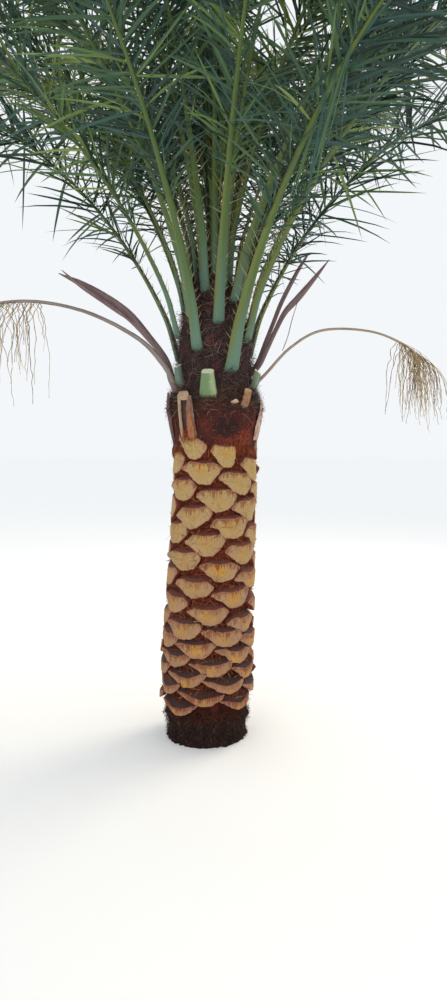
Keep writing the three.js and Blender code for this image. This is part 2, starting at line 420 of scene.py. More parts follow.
class ShaderGraph:
    """One material's nodes, with a Principled shader at the end."""

    def __init__(self, name: str) -> None:
        """Makes an empty material.

        Args:
            name: the material's name.
        """
        self.material = bpy.data.materials.new(name)
        self.material.use_nodes = True
        self.tree = self.material.node_tree
        self.tree.nodes.clear()
        self.shader = self.node("ShaderNodeBsdfPrincipled", {}, {})
        self.node("ShaderNodeOutputMaterial", {}, {"Surface": self.shader.outputs["BSDF"]})

    def node(
        self, kind: str, settings: dict[str, object], sockets: dict[str | int, object]
    ) -> bpy.types.Node:
        """Adds a node.

        Args:
            kind: the node's type.
            settings: its properties, set before its sockets.
            sockets: values or links of its inputs, by name or number.

        Returns:
            The node.
        """
        made = self.tree.nodes.new(kind)
        for name, value in settings.items():
            setattr(made, name, value)
        for name, value in sockets.items():
            if isinstance(value, Signal):
                value = value.socket
            if isinstance(value, bpy.types.NodeSocket):
                self.tree.links.new(value, made.inputs[name])
            else:
                made.inputs[name].default_value = value
        return made

    def maths(self, operation: str, *terms: Signal | float) -> Signal:
        """Adds a Math node.

        Args:
            operation: the node's operation.
            terms: its inputs.

        Returns:
            Its result.
        """
        made = self.node("ShaderNodeMath", {"operation": operation}, dict(enumerate(terms)))
        return Signal(self, made.outputs["Value"])

    def value(self, name: str) -> Signal:
        """Reads a point value of the mesh."""
        made = self.node("ShaderNodeAttribute", {"attribute_name": name}, {})
        return Signal(self, made.outputs["Fac"])

    def values(self, *names: str) -> list[Signal]:
        """Reads several point values of the mesh."""
        return [self.value(name) for name in names]

    def vector(self, x: Signal | float, y: Signal | float, z: Signal | float) -> bpy.types.NodeSocket:
        """Makes a vector of three signals."""
        return self.node("ShaderNodeCombineXYZ", {}, {0: x, 1: y, 2: z}).outputs["Vector"]

    def soft(self, at: bpy.types.NodeSocket, detail: float) -> Signal:
        """Adds soft noise round 0.5 at coordinates, with a number of finer layers."""
        sockets = {"Vector": at, "Scale": 1.0, "Detail": detail}
        return Signal(self, self.node("ShaderNodeTexNoise", {}, sockets).outputs["Fac"])

    def noise(self, x: Signal, y: Signal, z: Signal | float, detail: float) -> Signal:
        """Adds soft noise at three signals."""
        return self.soft(self.vector(x, y, z), detail)

    def grain(self, x: float, y: float, z: float, detail: float) -> Signal:
        """Adds soft noise at the point's place in the frame.

        Args:
            x: the noise's frequency along X.
            y: its frequency along Y.
            z: its frequency along Z.
            detail: how many finer layers it has.

        Returns:
            Values round 0.5.
        """
        place = self.node("ShaderNodeTexCoord", {}, {}).outputs["Object"]
        settings, sockets = {"operation": "MULTIPLY"}, {0: place, 1: (x, y, z)}
        stretched = self.node("ShaderNodeVectorMath", settings, sockets)
        return self.soft(stretched.outputs["Vector"], detail)

    def cells(self, at: bpy.types.NodeSocket, scale: float) -> Signal:
        """Adds the distance to scattered dots at a frequency."""
        sockets = {"Vector": at, "Scale": scale}
        return Signal(self, self.node("ShaderNodeTexVoronoi", {}, sockets).outputs["Distance"])

    def mix(self, factor: Signal, first: object, second: object) -> bpy.types.NodeSocket:
        """Mixes two colours.

        Args:
            factor: 0 for the first colour, 1 for the second.
            first: a screen colour or a colour socket.
            second: the same.

        Returns:
            The mixed colour's socket.
        """
        settings = {"data_type": "RGBA", "clamp_factor": True}
        tints = [paint(c) if isinstance(c, tuple) else c for c in (first, second)]
        return self.node("ShaderNodeMix", settings, {0: factor, 6: tints[0], 7: tints[1]}).outputs[2]

    def finish(
        self,
        colour: object,
        roughness: Signal | float,
        relief: Signal | None = None,
        depth: float = 0.002,
        strength: float = 0.6,
        specular: float = 0.35,
    ) -> bpy.types.Material:
        """Sets the shader's sockets.

        Args:
            colour: a screen colour or a colour socket.
            roughness: a number or a signal.
            relief: the height that feeds the bump.
            depth: the relief's depth in metres.
            strength: the bump's strength.
            specular: the level of the plain reflection.

        Returns:
            The material.
        """
        sockets = self.shader.inputs
        sockets["Specular IOR Level"].default_value = specular
        if isinstance(colour, tuple):
            sockets["Base Color"].default_value = paint(colour)
        else:
            self.tree.links.new(colour, sockets["Base Color"])
        if isinstance(roughness, Signal):
            self.tree.links.new(roughness.socket, sockets["Roughness"])
        else:
            sockets["Roughness"].default_value = roughness
        if relief is not None:
            heights = {"Strength": strength, "Distance": depth, "Height": relief}
            normal = self.node("ShaderNodeBump", {}, heights).outputs["Normal"]
            self.tree.links.new(normal, sockets["Normal"])
        return self.material


@dataclass(frozen=True)
class PlainTones:
    """A family of plain base colours, dealt out by strand or by spray."""

    name: str
    colours: tuple[Colour, ...]
    shares: tuple[float, ...]
    roughness: float = 0.8
    specular: float = 0.2

    def materials(self) -> list[bpy.types.Material]:
        """Makes one plain material for each colour.

        Returns:
            The materials, in the order of the colours.
        """
        made = []
        for number, colour in enumerate(self.colours):
            graph = ShaderGraph(f"{self.name}_{number + 1}")
            made.append(graph.finish(colour, self.roughness, specular=self.specular))
        return made

    def deal(self, rng: np.random.Generator, count: int, lift: Array | float = 0.0) -> Array:
        """Deals colour numbers out by their shares.

        Args:
            rng: the source of randomness.
            count: how many are dealt.
            lift: how far each deal leans to the later colours.

        Returns:
            The colour numbers.
        """
        rank = np.linspace(-1, 1, len(self.colours))
        weights = np.array(self.shares) * np.exp(np.multiply.outer(np.broadcast_to(lift, count), rank))
        edges = np.cumsum(weights, axis=1) / weights.sum(axis=1, keepdims=True)
        return (rng.uniform(size=count)[:, None] > edges[:, :-1]).sum(axis=1)


@dataclass(frozen=True)
class CutFace:
    """The sawn face of a leaf base: straw with an amber stain, short streaks, pits and a thin rim."""

    straw: Colour = (177, 149, 96)
    tan: Colour = (157, 117, 88)
    amber: Colour = (196, 142, 60)
    streak: Colour = (128, 58, 30)
    pit: Colour = (100, 62, 40)
    rim: Colour = (160, 110, 84)
    blush: Colour = (176, 140, 106)

    def material(self) -> bpy.types.Material:
        """Makes the finish.

        Returns:
            The material.
        """
        graph = ShaderGraph("cut_face")
        across, drop, edge, seed = graph.values("across", "drop", "edge", "seed")
        stain, streaky = graph.values("stain", "streaky")
        cloud = graph.noise(across * 22, drop * 22, seed * 70, detail=3)
        high = graph.value("height") + (cloud - 0.5) * 0.7
        colour = graph.mix(high.rise(0.15, 0.95), self.tan, self.straw)
        wing = (abs(across) * 9 + (cloud - 0.5) * 1.2).rise(0.25, 0.95)
        colour = graph.mix(wing * (0.2 + 0.5 * high), colour, self.blush)
        middle = 1 - abs(across * 17 + (cloud - 0.5) * 1.8)
        upper = 1 - (drop + (cloud - 0.5) * 0.05).rise(0.035, 0.085)
        amber = middle.rise(0.0, 0.8) * upper * cloud.rise(0.28, 0.6) * stain
        colour = graph.mix(amber, colour, self.amber)
        threads = graph.noise(across * 240, drop * 18, seed * 50, detail=3)
        reach = graph.noise(across * 34, seed * 90, 0.0, detail=1)
        streaks = (threads * 0.8 + reach * 0.5 - 0.535 - drop * 6.5).rise(0.0, 0.07) * streaky
        colour = graph.mix(streaks * 0.88, colour, self.streak)
        dots = graph.cells(graph.vector(across, drop, seed * 3), 150)
        spots = (1 - dots.rise(0.12, 0.3)) * cloud.rise(0.5, 0.6)
        colour = graph.mix(spots * 0.8, colour, self.pit)
        grain = graph.noise(across * 500, drop * 500, seed * 9, detail=2)
        mottle = graph.noise(across * 90, drop * 90, seed * 20, detail=3)
        colour = graph.mix(mottle.rise(0.5, 0.75) * 0.35, colour, self.pit)
        colour = graph.mix((edge + (mottle - 0.5) * 0.16).rise(0.9, 0.99), colour, self.rim)
        relief = grain * 0.5 + cloud + mottle - streaks * 0.5 - spots
        return graph.finish(colour, 0.58 + grain * 0.3, relief, depth=0.0025, strength=0.5)


@dataclass(frozen=True)
class SheathSide:
    """The flanks of a leaf base: a grey-mauve upper side, a pale rim and red-brown skin below, darkened
    low down as painted shade.
    """

    upper: Colour = (106, 60, 48)
    lower: Colour = (122, 52, 30)
    deep: Colour = (84, 34, 19)
    rim: Colour = (156, 104, 80)
    shaded_low_upper: Colour = (62, 43, 39)
    shaded_low_deep: Colour = (38, 26, 23)

    def material(self) -> bpy.types.Material:
        """Makes the finish.

        Returns:
            The material.
        """
        graph = ShaderGraph("sheath_side")
        inward, upward, seed, across = graph.values("inward", "upward", "seed", "across")
        threads = graph.noise(across * 300, inward * 3, seed * 40, detail=3)
        # Painted shade: the upper side and the inner skin darken on the low rows towards the foot.
        lit = graph.value("height").rise(0.2, 0.55)
        top = graph.mix(lit, self.shaded_low_upper, self.upper)
        inner = graph.mix(lit, self.shaded_low_deep, self.deep)
        colour = graph.mix((upward + (threads - 0.5) * 0.5).rise(0.1, 0.6), self.lower, top)
        colour = graph.mix((inward + (threads - 0.5) * 0.7).rise(0.35, 1.0), colour, inner)
        colour = graph.mix(threads.rise(0.55, 0.75) * 0.5, colour, inner)
        colour = graph.mix(1 - inward.rise(0.0, 0.08), colour, self.rim)
        return graph.finish(colour, 0.75, threads, depth=0.003, strength=0.6)


@dataclass(frozen=True)
class MattedFibre:
    """Matted fibre behind the loose strands."""

    name: str
    dark: Colour
    middle: Colour
    bright: Colour
    rust: Colour = (112, 50, 36)

    def material(self) -> bpy.types.Material:
        """Makes the finish.

        Returns:
            The material.
        """
        graph = ShaderGraph(self.name)
        strands = graph.grain(260, 260, 60, detail=3)
        crossed = graph.grain(60, 60, 260, detail=3)
        cloud = graph.grain(14, 14, 14, detail=2)
        patches = graph.grain(9, 9, 7, detail=1)
        colour = graph.mix(strands.rise(0.35, 0.7), self.dark, self.middle)
        colour = graph.mix(crossed.rise(0.5, 0.72) * cloud.rise(0.35, 0.6), colour, self.bright)
        colour = graph.mix(patches.rise(0.56, 0.68) * 0.7, colour, self.rust)
        return graph.finish(colour, 0.9, strands + crossed, depth=0.006, strength=0.8, specular=0.15)


@dataclass(frozen=True)
class CollarCloth:
    """The red-brown cloth round the trunk's top, finely threaded, with bright patches that are partly
    random and partly painted light, and a painted shadow.
    """

    cloth: Colour = (86, 33, 27)
    bright: Colour = (128, 48, 30)
    # dark serves both the dark threads and the painted shadow.
    dark: Colour = (44, 24, 24)
    # amber is a painted highlight on the threads under the painted light spots.
    amber: Colour = (176, 88, 44)

    def material(self) -> bpy.types.Material:
        """Makes the finish.

        Returns:
            The material.
        """
        graph = ShaderGraph("collar_cloth")
        threads = graph.grain(420, 420, 36, detail=3)
        weave = graph.grain(150, 150, 420, detail=2)
        cloud = graph.grain(16, 16, 12, detail=3)
        glow, shade = graph.values("glow", "shade")
        colour = graph.mix((threads * 0.7 + weave * 0.3).rise(0.35, 0.62), self.dark, self.cloth)
        # Painted light: threads brighten where the random cloud or the painted light spots rise, and
        # take amber highlights under the spots.
        lit = (cloud - 0.5 + glow * 0.5).rise(0.1, 0.45) * threads.rise(0.4, 0.6)
        colour = graph.mix(lit, colour, self.bright)
        colour = graph.mix(glow * (threads * 0.6 + weave * 0.6).rise(0.6, 0.8), colour, self.amber)
        # Painted shadow: the cloth darkens where the shadow spot lies.
        colour = graph.mix((shade + (cloud - 0.5) * 0.5).rise(0.2, 0.9) * 0.85, colour, self.dark)
        relief = threads + weave * 0.7
        return graph.finish(colour, 0.82, relief, depth=0.002, strength=0.5, specular=0.2)


@dataclass(frozen=True)
class StalkSkin:
    """A living stalk: glaucous at the foot, olive higher up, with a sunny side, painted shade on its
    inner side and pale margins, partly brown edge and partly painted highlight.
    """

    name: str = "stalk_skin"
    foot: Colour = (90, 122, 104)
    upper: Colour = (72, 96, 41)
    sunny: Colour = (101, 112, 47)
    margin: Colour = (132, 132, 84)
    shade: Colour = (52, 70, 52)
    cut: Colour = (206, 212, 180)
    sunny_side: float = 1.0

    def material(self) -> bpy.types.Material:
        """Makes the finish.

        Returns:
            The material.
        """
        graph = ShaderGraph(self.name)
        run, across, seed = graph.values("run", "across", "seed")
        fine = graph.noise(across * 9, run * 26, seed * 60, detail=3)
        cloud = graph.noise(across * 1.4, run * 5, seed * 30, detail=2)
        colour = graph.mix((run + (cloud - 0.5) * 0.3).rise(0.0, 0.34), self.foot, self.upper)
        side = (across * self.sunny_side + (cloud - 0.5) * 0.9).rise(0.0, 0.7) * run.rise(0.0, 0.12)
        colour = graph.mix(side * 0.85, colour, self.sunny)
        # Painted shade on the stalk's inner, channel side.
        colour = graph.mix(graph.value("inside").rise(0.05, 0.6) * 0.75, colour, self.shade)
        # The pale margins are partly the stalk's brown edge and partly a painted highlight along its
        # rims.
        brim = (abs(across) + (fine - 0.5) * 0.25).rise(0.9, 1.0) * (1 - run.rise(0.5, 0.9))
        colour = graph.mix(brim * 0.55, colour, self.margin)
        colour = graph.mix(fine.rise(0.62, 0.8) * 0.35, colour, self.margin)
        colour = graph.mix(graph.value("cut"), colour, self.cut)
        return graph.finish(colour, 0.42 + fine * 0.25, fine, depth=0.001, strength=0.3, specular=0.45)


@dataclass(frozen=True)
class DryWood:
    """Dried stalk or flower sheath: two colours in long streaks, darker flecks."""

    name: str
    light: Colour
    deep: Colour
    fleck: Colour
    cut: Colour = (222, 226, 190)

    def material(self) -> bpy.types.Material:
        """Makes the finish.

        Returns:
            The material.
        """
        graph = ShaderGraph(self.name)
        run, across, seed = graph.values("run", "across", "seed")
        streaks = graph.noise(across * 8, run * 5, seed * 60, detail=4)
        cloud = graph.noise(across * 1.3, run * 9, seed * 30, detail=2)
        colour = graph.mix((streaks * 0.6 + cloud * 0.4).rise(0.38, 0.62), self.deep, self.light)
        colour = graph.mix(streaks.rise(0.6, 0.75) * cloud.rise(0.45, 0.65) * 0.8, colour, self.fleck)
        colour = graph.mix(graph.value("cut") * (0.7 + streaks * 0.5), colour, self.cut)
        return graph.finish(colour, 0.55 + streaks * 0.3, streaks, depth=0.0015, strength=0.5)


GREENS = PlainTones(
    "leaflet_green",
    (
        (40, 62, 52), (47, 77, 61), (58, 89, 81), (61, 89, 61), (74, 103, 71), (86, 114, 66),
        (102, 127, 68), (126, 144, 78), (146, 136, 88),
    ),
    (13, 17, 14, 17, 14, 11, 8, 4, 0.15),
    roughness=0.5,
    specular=0.35,
)
SPINE_TONES = PlainTones(
    "spine", ((190, 180, 128), (160, 152, 92), (128, 108, 66)), (4, 3, 2), roughness=0.5
)
TRUNK_FIBRE = PlainTones(
    "trunk_fibre",
    ((76, 32, 20), (102, 44, 26), (126, 58, 34), (150, 78, 44), (178, 108, 62), (196, 148, 98)),
    (10, 13, 11, 5, 2, 0.8),
)
ROOT_TONES = PlainTones(
    "rootlet", ((32, 22, 22), (46, 32, 28), (66, 44, 36), (92, 62, 46)), (5, 5, 3, 1), roughness=0.9
)
HEART_TONES = PlainTones(
    "heart_strand",
    ((38, 28, 29), (58, 46, 46), (82, 66, 65), (106, 88, 84), (110, 52, 40), (148, 128, 118)),
    (10, 12, 10, 5, 3, 1.8),
)
RIM_TONES = PlainTones(
    "rim_strand",
    ((36, 25, 24), (56, 40, 37), (82, 62, 54), (110, 90, 74), (98, 46, 34), (152, 128, 100)),
    (9, 10, 8, 4, 3, 1.4),
)
FRINGE_TONES = PlainTones(
    "fringe", ((122, 48, 26), (158, 76, 34), (92, 40, 28), (188, 120, 60)), (4, 3, 3, 1)
)
STRAND_TONES = PlainTones(
    "fruit_strand", ((188, 164, 124), (160, 136, 102), (126, 112, 98), (206, 188, 150)), (4, 4, 2, 2)
)


@dataclass(frozen=True)
class Strands:
    """Loose strands laid over a surface as narrow tapering ribbons, with the ranges of their sizes."""

    length: Pair
    width: Pair
    bulge: Pair = (-0.006, 0.010)
    curl: float = 0.02
    stations: int = 4

    def lay(
        self,
        rng: np.random.Generator,
        start: Array,
        heading: Array,
        outward: Array,
        longest: Array | float = math.inf,
    ) -> Array:
        """Lays the strands out.

        Args:
            rng: the source of randomness.
            start: where each strand starts.
            heading: its direction.
            outward: the way off the surface.
            longest: the most that it may measure.

        Returns:
            Strips by stations by two points.
        """
        count = len(start)
        length = np.minimum(rng.uniform(*self.length, count), longest)[:, None, None]
        width = rng.uniform(*self.width, count)[:, None, None]
        bulge = rng.uniform(*self.bulge, count)[:, None, None]
        curl = rng.normal(0, self.curl, count)[:, None, None]
        share = np.linspace(0, 1, self.stations)[None, :, None]
        side = unit(np.cross(heading, outward))[:, None]
        path = start[:, None] + heading[:, None] * (length * share)
        path = path + outward[:, None] * (bulge * np.sin(math.pi * share * 0.85))
        path = path + side * (curl * share**2)
        half = 0.5 * width * (1 - 0.7 * share)
        return np.stack([path + side * half, path - side * half], axis=2)


@dataclass(frozen=True)
class Limb:
    """A body of flat oval section along a curve in an upright plane through the crown's axis.

    A station is its distance from the axis, height, width and thickness in millimetres.
    """

    azimuth: float
    stations: Stations
    swing: float = 0.0
    sides: int = 14
    steps: int = 6
    hollow: float = 0.0
    rough: float = 0.0
    seed: int = 0
    roll: float = 0.0
    slant: float = 0.0
    roundness: float = 1.0
    forward: float = 0.0

    def rings(self) -> tuple[Array, Array, Array]:
        """Works out the rings of the limb.

        Returns:
            Rings of points, each ring's share of the run, and each side's share across, -1 to 1.
        """
        rng = np.random.default_rng(self.seed)
        rows = smooth_path(self.stations, self.steps) * MM
        reach, z, width, thick = rows.T
        tilt = np.arctan2(np.gradient(reach), np.gradient(z))
        share = np.linspace(0, 1, len(rows))
        turn = self.azimuth + self.swing * share + self.forward * (1 - smooth(share, 0.0, 0.4))
        radial, back_round = ways(np.radians(turn))
        out = radial * np.cos(tilt)[:, None] - UP * np.sin(tilt)[:, None]
        run = radial * np.sin(tilt)[:, None] + UP * np.cos(tilt)[:, None]
        rolled = math.radians(self.roll)
        side = out * math.sin(rolled) - back_round * math.cos(rolled)
        out = out * math.cos(rolled) + back_round * math.sin(rolled)
        middle = radial * reach[:, None] + UP * z[:, None] + CROWN_AXIS
        theta = TURN * (np.arange(self.sides) + 0.5) / self.sides
        wobble = 1 + self.rough * rng.normal(0, 1, (len(rows), self.sides))
        flat = np.sign(np.cos(theta)) * np.abs(np.cos(theta)) ** self.roundness
        deep = np.sign(np.sin(theta)) * np.abs(np.sin(theta)) ** self.roundness
        aside = 0.5 * width[:, None] * flat * wobble
        off = 0.5 * thick[:, None] * deep * wobble * (1 - self.hollow)
        off = off + self.hollow * thick[:, None] * (0.5 - np.cos(theta) ** 2)
        fall = self.slant * MM * smooth(share, 0.35, 1.0)[:, None] * (0.5 + 0.5 * np.sin(theta))
        points = middle[:, None] + side[:, None] * aside[..., None] + out[:, None] * off[..., None]
        return points - run[:, None] * fall[..., None], share, flat

    def sketch(self, mesh: MeshSketch, material: int = 0) -> None:
        """Adds the limb to a mesh, with its two ends closed.

        Args:
            mesh: the mesh that it goes into.
            material: its material number.
        """
        points, share, across = self.rings()
        seed = self.seed * 0.137 % 1
        mesh.add_sheets(points, True, material, run=share[:, None], across=across, seed=seed, cut=0.0)
        mesh.add_cap(points[0], True, material, run=0.0, across=0.0, seed=seed, cut=0.0)
        mesh.add_cap(points[-1], False, material, run=1.0, across=0.0, seed=seed, cut=1.0)


@dataclass
class Trunk:
    """The trunk: a fibrous core, sawn leaf bases on a golden-angle spiral and loose fibre.

    A face corner's row is its place to the right and up and how far it strays each way, in
    millimetres. A top face's row is its turn in degrees, its rise, its share of the usual width and
    its tilt in degrees.
    """

    top: float = 1.53
    lean: float = 0.044
    profile: Table = (
        (0, 0.221), (0.045, 0.205), (0.1, 0.208), (0.145, 0.244), (0.3, 0.243), (0.6, 0.237),
        (0.85, 0.230), (1.05, 0.223), (1.28, 0.218), (1.53, 0.217),
    )
    first_base: int = -8
    last_base: int = 81
    base_phase: float = -106.0
    base_top: float = 1.39
    base_pitch: float = 0.017
    low_pitch: float = 0.0122
    crowded_from: int = 45
    squat_by_number: Table = (
        (12, 1.0), (22, 0.89), (30, 0.79), (45, 0.73), (52, 0.66), (60, 0.57), (70, 0.46), (76, 0.36),
    )
    outline_points: int = 54
    foot_top: float = 0.135
    core_sides: int = 144
    fibre_count: int = 26000
    fibre_span: Pair = (0.13, 1.53)
    fibre_free: Pair = (0.092, 0.062)
    fibre: Strands = Strands((0.02, 0.065), (0.0012, 0.0032), (-0.004, 0.006), 0.012)
    rootlet_count: int = 3600
    rootlet_span: Pair = (0.015, 0.18)
    rootlet: Strands = Strands((0.015, 0.06), (0.0016, 0.0045), (-0.002, 0.009), 0.012)
    ring_shares: tuple[float, ...] = (0.14, 0.36, 0.58, 0.78, 0.92, 1.0)
    flank_shares: tuple[float, ...] = (0.06, 0.25, 0.55, 1.4)
    proud_faces: tuple[int, ...] = (-8, -5)
    face_corners: tuple[Quadruple, ...] = (
        (-62, 51, 12, 3), (-92, 36, 9, 7), (-120, 8, 13, 13), (-68, -15, 10, 8), (-42, -44, 11, 8),
        (-10, -61, 12, 6), (34, -63, 12, 6), (66, -42, 9, 9), (92, -10, 8, 11), (104, 22, 8, 13),
        (70, 51, 18, 3),
    )
    top_faces: dict[int, Quadruple] = field(
        default_factory=lambda: {
            -8: (4.0, -0.004, 0.86, -17.0), -5: (-3.0, -0.002, 0.60, -3.0),
            -2: (-5.0, -0.018, 0.80, 0.0),
        }
    )

    def lean_at(self, z: Array) -> Array:
        """Gives the axis's shift to the right at a height."""
        share = np.clip((np.asarray(z, float) - 0.1) / 1.4, 0, 1)
        return self.lean * (1 - np.cos(math.pi * share)) / 2

    def radius_at(self, z: Array) -> Array:
        """Gives the radius over the leaf bases at a height."""
        return along(self.profile, z) + 0.003

    def standing(self, z: Array) -> Array:
        """Gives how far the leaf bases stand off the core at a height."""
        return 0.026 + 0.028 * np.clip((1.4 - np.asarray(z, float)) / 1.2, 0, 1)

    def squat(self, number: Array) -> Array:
        """Gives how much of its height a leaf base has left where the bases crowd."""
        return along(self.squat_by_number, number)

    def core_radius(self, z: Array) -> Array:
        """Gives the core's radius at a height, widening to the whole foot below the leaf bases."""
        in_foot = 1 - smooth(z, self.foot_top - 0.02, self.foot_top + 0.03)
        return self.radius_at(z) - self.standing(z) * (1 - in_foot) - 0.012 * in_foot

    def point(self, azimuth: Array, z: Array, radius: Array) -> Array:
        """Finds points of the leaning trunk.

        Args:
            azimuth: angles in radians.
            z: heights.
            radius: distances from the leaning axis.

        Returns:
            The points.
        """
        found = polar(radius, azimuth, z)
        found[..., 0] += self.lean_at(z)
        return found

    def azimuth_of(self, number: Array) -> Array:
        """Gives a leaf base's azimuth in radians."""
        return np.radians(self.base_phase + GOLDEN_ANGLE * np.asarray(number))

    def height_of(self, number: Array) -> Array:
        """Gives the height of a leaf base's middle."""
        crowded = np.maximum(number - self.crowded_from, 0)
        return self.base_top - self.base_pitch * (number - crowded) - self.low_pitch * crowded

    def build_core(self) -> bpy.types.Object:
        """Builds the core and the foot.

        Returns:
            The piece.
        """
        rng = np.random.default_rng(11)
        z = np.concatenate([np.linspace(0, 0.16, 24), np.linspace(0.168, 1.56, 130)])[:, None]
        azimuth = np.linspace(0, TURN, self.core_sides, endpoint=False)[None]
        relief = 0.004 * lumps(azimuth, z, rng, 14, 40, 160)
        in_foot = 1 - smooth(z, 0.1, 0.17)
        roots = 0.007 * lumps(azimuth, z, rng, 14, 46, 20) * in_foot
        points = self.point(azimuth, z, self.core_radius(z) + relief + roots)
        mesh = MeshSketch()
        upper = z[:-1] > 0.20 + 0.022 * lumps(azimuth, z[:-1], rng, 9, 14, 8)
        mesh.add_sheets(points, True, 0)
        mesh.slots[-1] = upper.astype(np.int32).ravel()
        mesh.add_cap(points[0], True, 0)
        mesh.add_cap(points[-1], False, 1)
        # The foot's finish is its dark root zone, darkened further as painted shade near the ground.
        foot = MattedFibre("foot_bark_and_shade", (25, 18, 18), (45, 31, 28), (68, 48, 41), (52, 31, 27))
        core = MattedFibre("trunk_core", (66, 28, 16), (124, 54, 31), (158, 80, 42))
        return mesh.build("trunk_core", [foot.material(), core.material()])

    def outline(
        self, rng: np.random.Generator, squat: float, narrow: float = 1.0, tilt: float = 0.0
    ) -> tuple[Array, Array]:
        """Draws the outline of one sawn face.

        Args:
            rng: the source of randomness.
            squat: how much of its height is left where the bases crowd.
            narrow: how much of its width is left.
            tilt: how far its right end stands higher, in degrees.

        Returns:
            Points (to the right, up) in metres, counterclockwise from outside, and how far each one
            of them sags below the straight upper edge.
        """
        table = np.array(self.face_corners, float)
        corners = table[:, :2] + table[:, 2:] * rng.uniform(-1, 1, (len(table), 2))
        turned = math.tan(math.radians(tilt + rng.uniform(-5, 5)))
        after = np.roll(corners, -1, axis=0)
        eased = np.stack([corners * 0.89 + after * 0.11, corners * 0.11 + after * 0.89], axis=1)
        closed = np.vstack([eased.reshape(-1, 2), corners[0] * 0.89 + after[0] * 0.11])
        steps = np.linalg.norm(np.diff(closed, axis=0), axis=1)
        reach = np.concatenate([[0], np.cumsum(steps)])
        at = np.linspace(0, reach[-1], self.outline_points, endpoint=False)
        across = np.interp(at, reach, closed[:, 0])
        up = np.interp(at, reach, closed[:, 1])
        sag = rng.uniform(3, 8) / squat**0.9
        sag = sag * np.clip(1 - (across / 66) ** 2, 0, 1) * smooth(up, 20, 45)
        lift = (1 - squat) * 40 * (across / 100) ** 2
        up = up * squat - sag + lift + turned * across
        wide = (1 + 0.24 * (1 - squat)) * narrow
        chips = rng.normal(0, 1.4, (2, len(at)))
        return np.stack([across * wide + chips[0], up + chips[1]], axis=-1) * MM, sag * MM

    def build_leaf_bases(self) -> bpy.types.Object:
        """Builds the sawn leaf bases.

        Returns:
            The piece.
        """
        rng = np.random.default_rng(23)
        mesh = MeshSketch()
        for number in range(self.first_base, self.last_base + 1):
            self.sketch_base(mesh, rng, number)
        return mesh.build("leaf_bases", [CutFace().material(), SheathSide().material()])

    def sketch_base(self, mesh: MeshSketch, rng: np.random.Generator, number: int) -> None:
        """Adds one leaf base to a mesh.

        Args:
            mesh: the mesh that it goes into.
            rng: the source of randomness.
            number: its place on the spiral, counted down from the top.
        """
        turn, rise, narrow, tilt = self.top_faces.get(number, (0.0, 0.0, 1.0, 0.0))
        azimuth = float(self.azimuth_of(number)) + math.radians(turn)
        middle = float(self.height_of(number)) + rise
        line, sag = self.outline(rng, float(self.squat(number)), narrow, tilt)
        standing = float(self.standing(middle)) + rng.uniform(-0.003, 0.003)
        lifted = 0.010 * (number in self.proud_faces) + rng.uniform(-0.002, 0.003)
        tilt_across, tilt_up = rng.uniform(-0.08, 0.08), rng.uniform(-0.12, 0.04)
        ridge, fold = rng.uniform(-0.03, 0.03), rng.uniform(0.02, 0.10)
        traits = {"seed": rng.uniform(), "stain": rng.uniform(0.1, 1) ** 0.7}
        traits["streaky"] = rng.uniform(0.15, 1) ** 0.4
        traits["height"] = min(middle / self.top, 1.0)
        centre = line.mean(axis=0)
        shares = np.array(self.ring_shares)[:, None]
        flat = centre + (line - centre) * shares[..., None]
        across, up = flat[..., 0], flat[..., 1]
        plane = lifted + tilt_across * across + tilt_up * up - fold * (np.abs(across - ridge) - 0.03)
        chipped = 0.0008 * rng.normal(0, 1, plane.shape) - 0.002 * (shares == 1)
        rings = self._wrapped(azimuth, middle, flat, plane + chipped)
        drop = np.maximum(np.interp(across, *self._top_of(line)) - up, 0)
        mesh.add_sheets(rings, True, 0, across=across, drop=drop, edge=shares, **traits)
        mesh.add_cap(rings[0], False, 0, across=centre[0], drop=drop[0].mean(), edge=0.0, **traits)
        edge_run = np.roll(line, -3, axis=0) - np.roll(line, 3, axis=0)
        upward = -unit(edge_run)[:, 0]
        slope = 0.28 + 0.50 * (1 - traits["height"]) ** 2.4 + 0.16 * upward
        shares = np.array(self.flank_shares)[:, None]
        spread = 1 + 0.05 * shares
        rise = slope * shares * standing + 1.3 * sag * np.minimum(1, 1.6 * shares)
        flat = np.stack([line[:, 0] * spread, line[:, 1] * spread + rise], axis=-1)
        off = (plane[-1] - 0.002) * (1 - 0.5 * shares) - shares * standing
        off = off + 0.0012 * rng.normal(0, 1, off.shape) * shares
        flank = np.concatenate([rings[-1:], self._wrapped(azimuth, middle, flat, off)])[::-1]
        inward = np.minimum(np.vstack([[0], shares]), 1)[::-1]
        side_traits = {"seed": traits["seed"], "height": traits["height"]}
        mesh.add_sheets(flank, True, 1, inward=inward, upward=upward, across=line[:, 0], **side_traits)

    @staticmethod
    def _top_of(line: Array) -> tuple[Array, Array]:
        """Gives the upper part of an outline as rising places and their heights."""
        upper = line[line[:, 1] > 0]
        return tuple(upper[np.argsort(upper[:, 0])].T)

    def _wrapped(self, azimuth: float, middle: float, flat: Array, off: Array) -> Array:
        """Lays flat points round the trunk, half way between a plane and the cylinder.

        Args:
            azimuth: the middle's azimuth.
            middle: the middle's height.
            flat: points (to the right, up).
            off: how far each stands off the trunk's radius.

        Returns:
            The points in the frame.
        """
        radius = self.radius_at(min(middle, self.top))
        turn = flat[..., 0] / radius
        bowed = radius / np.cos(turn) ** 0.28 - 0.003
        z = middle + flat[..., 1]
        return self.point(azimuth + turn, z, bowed + off)

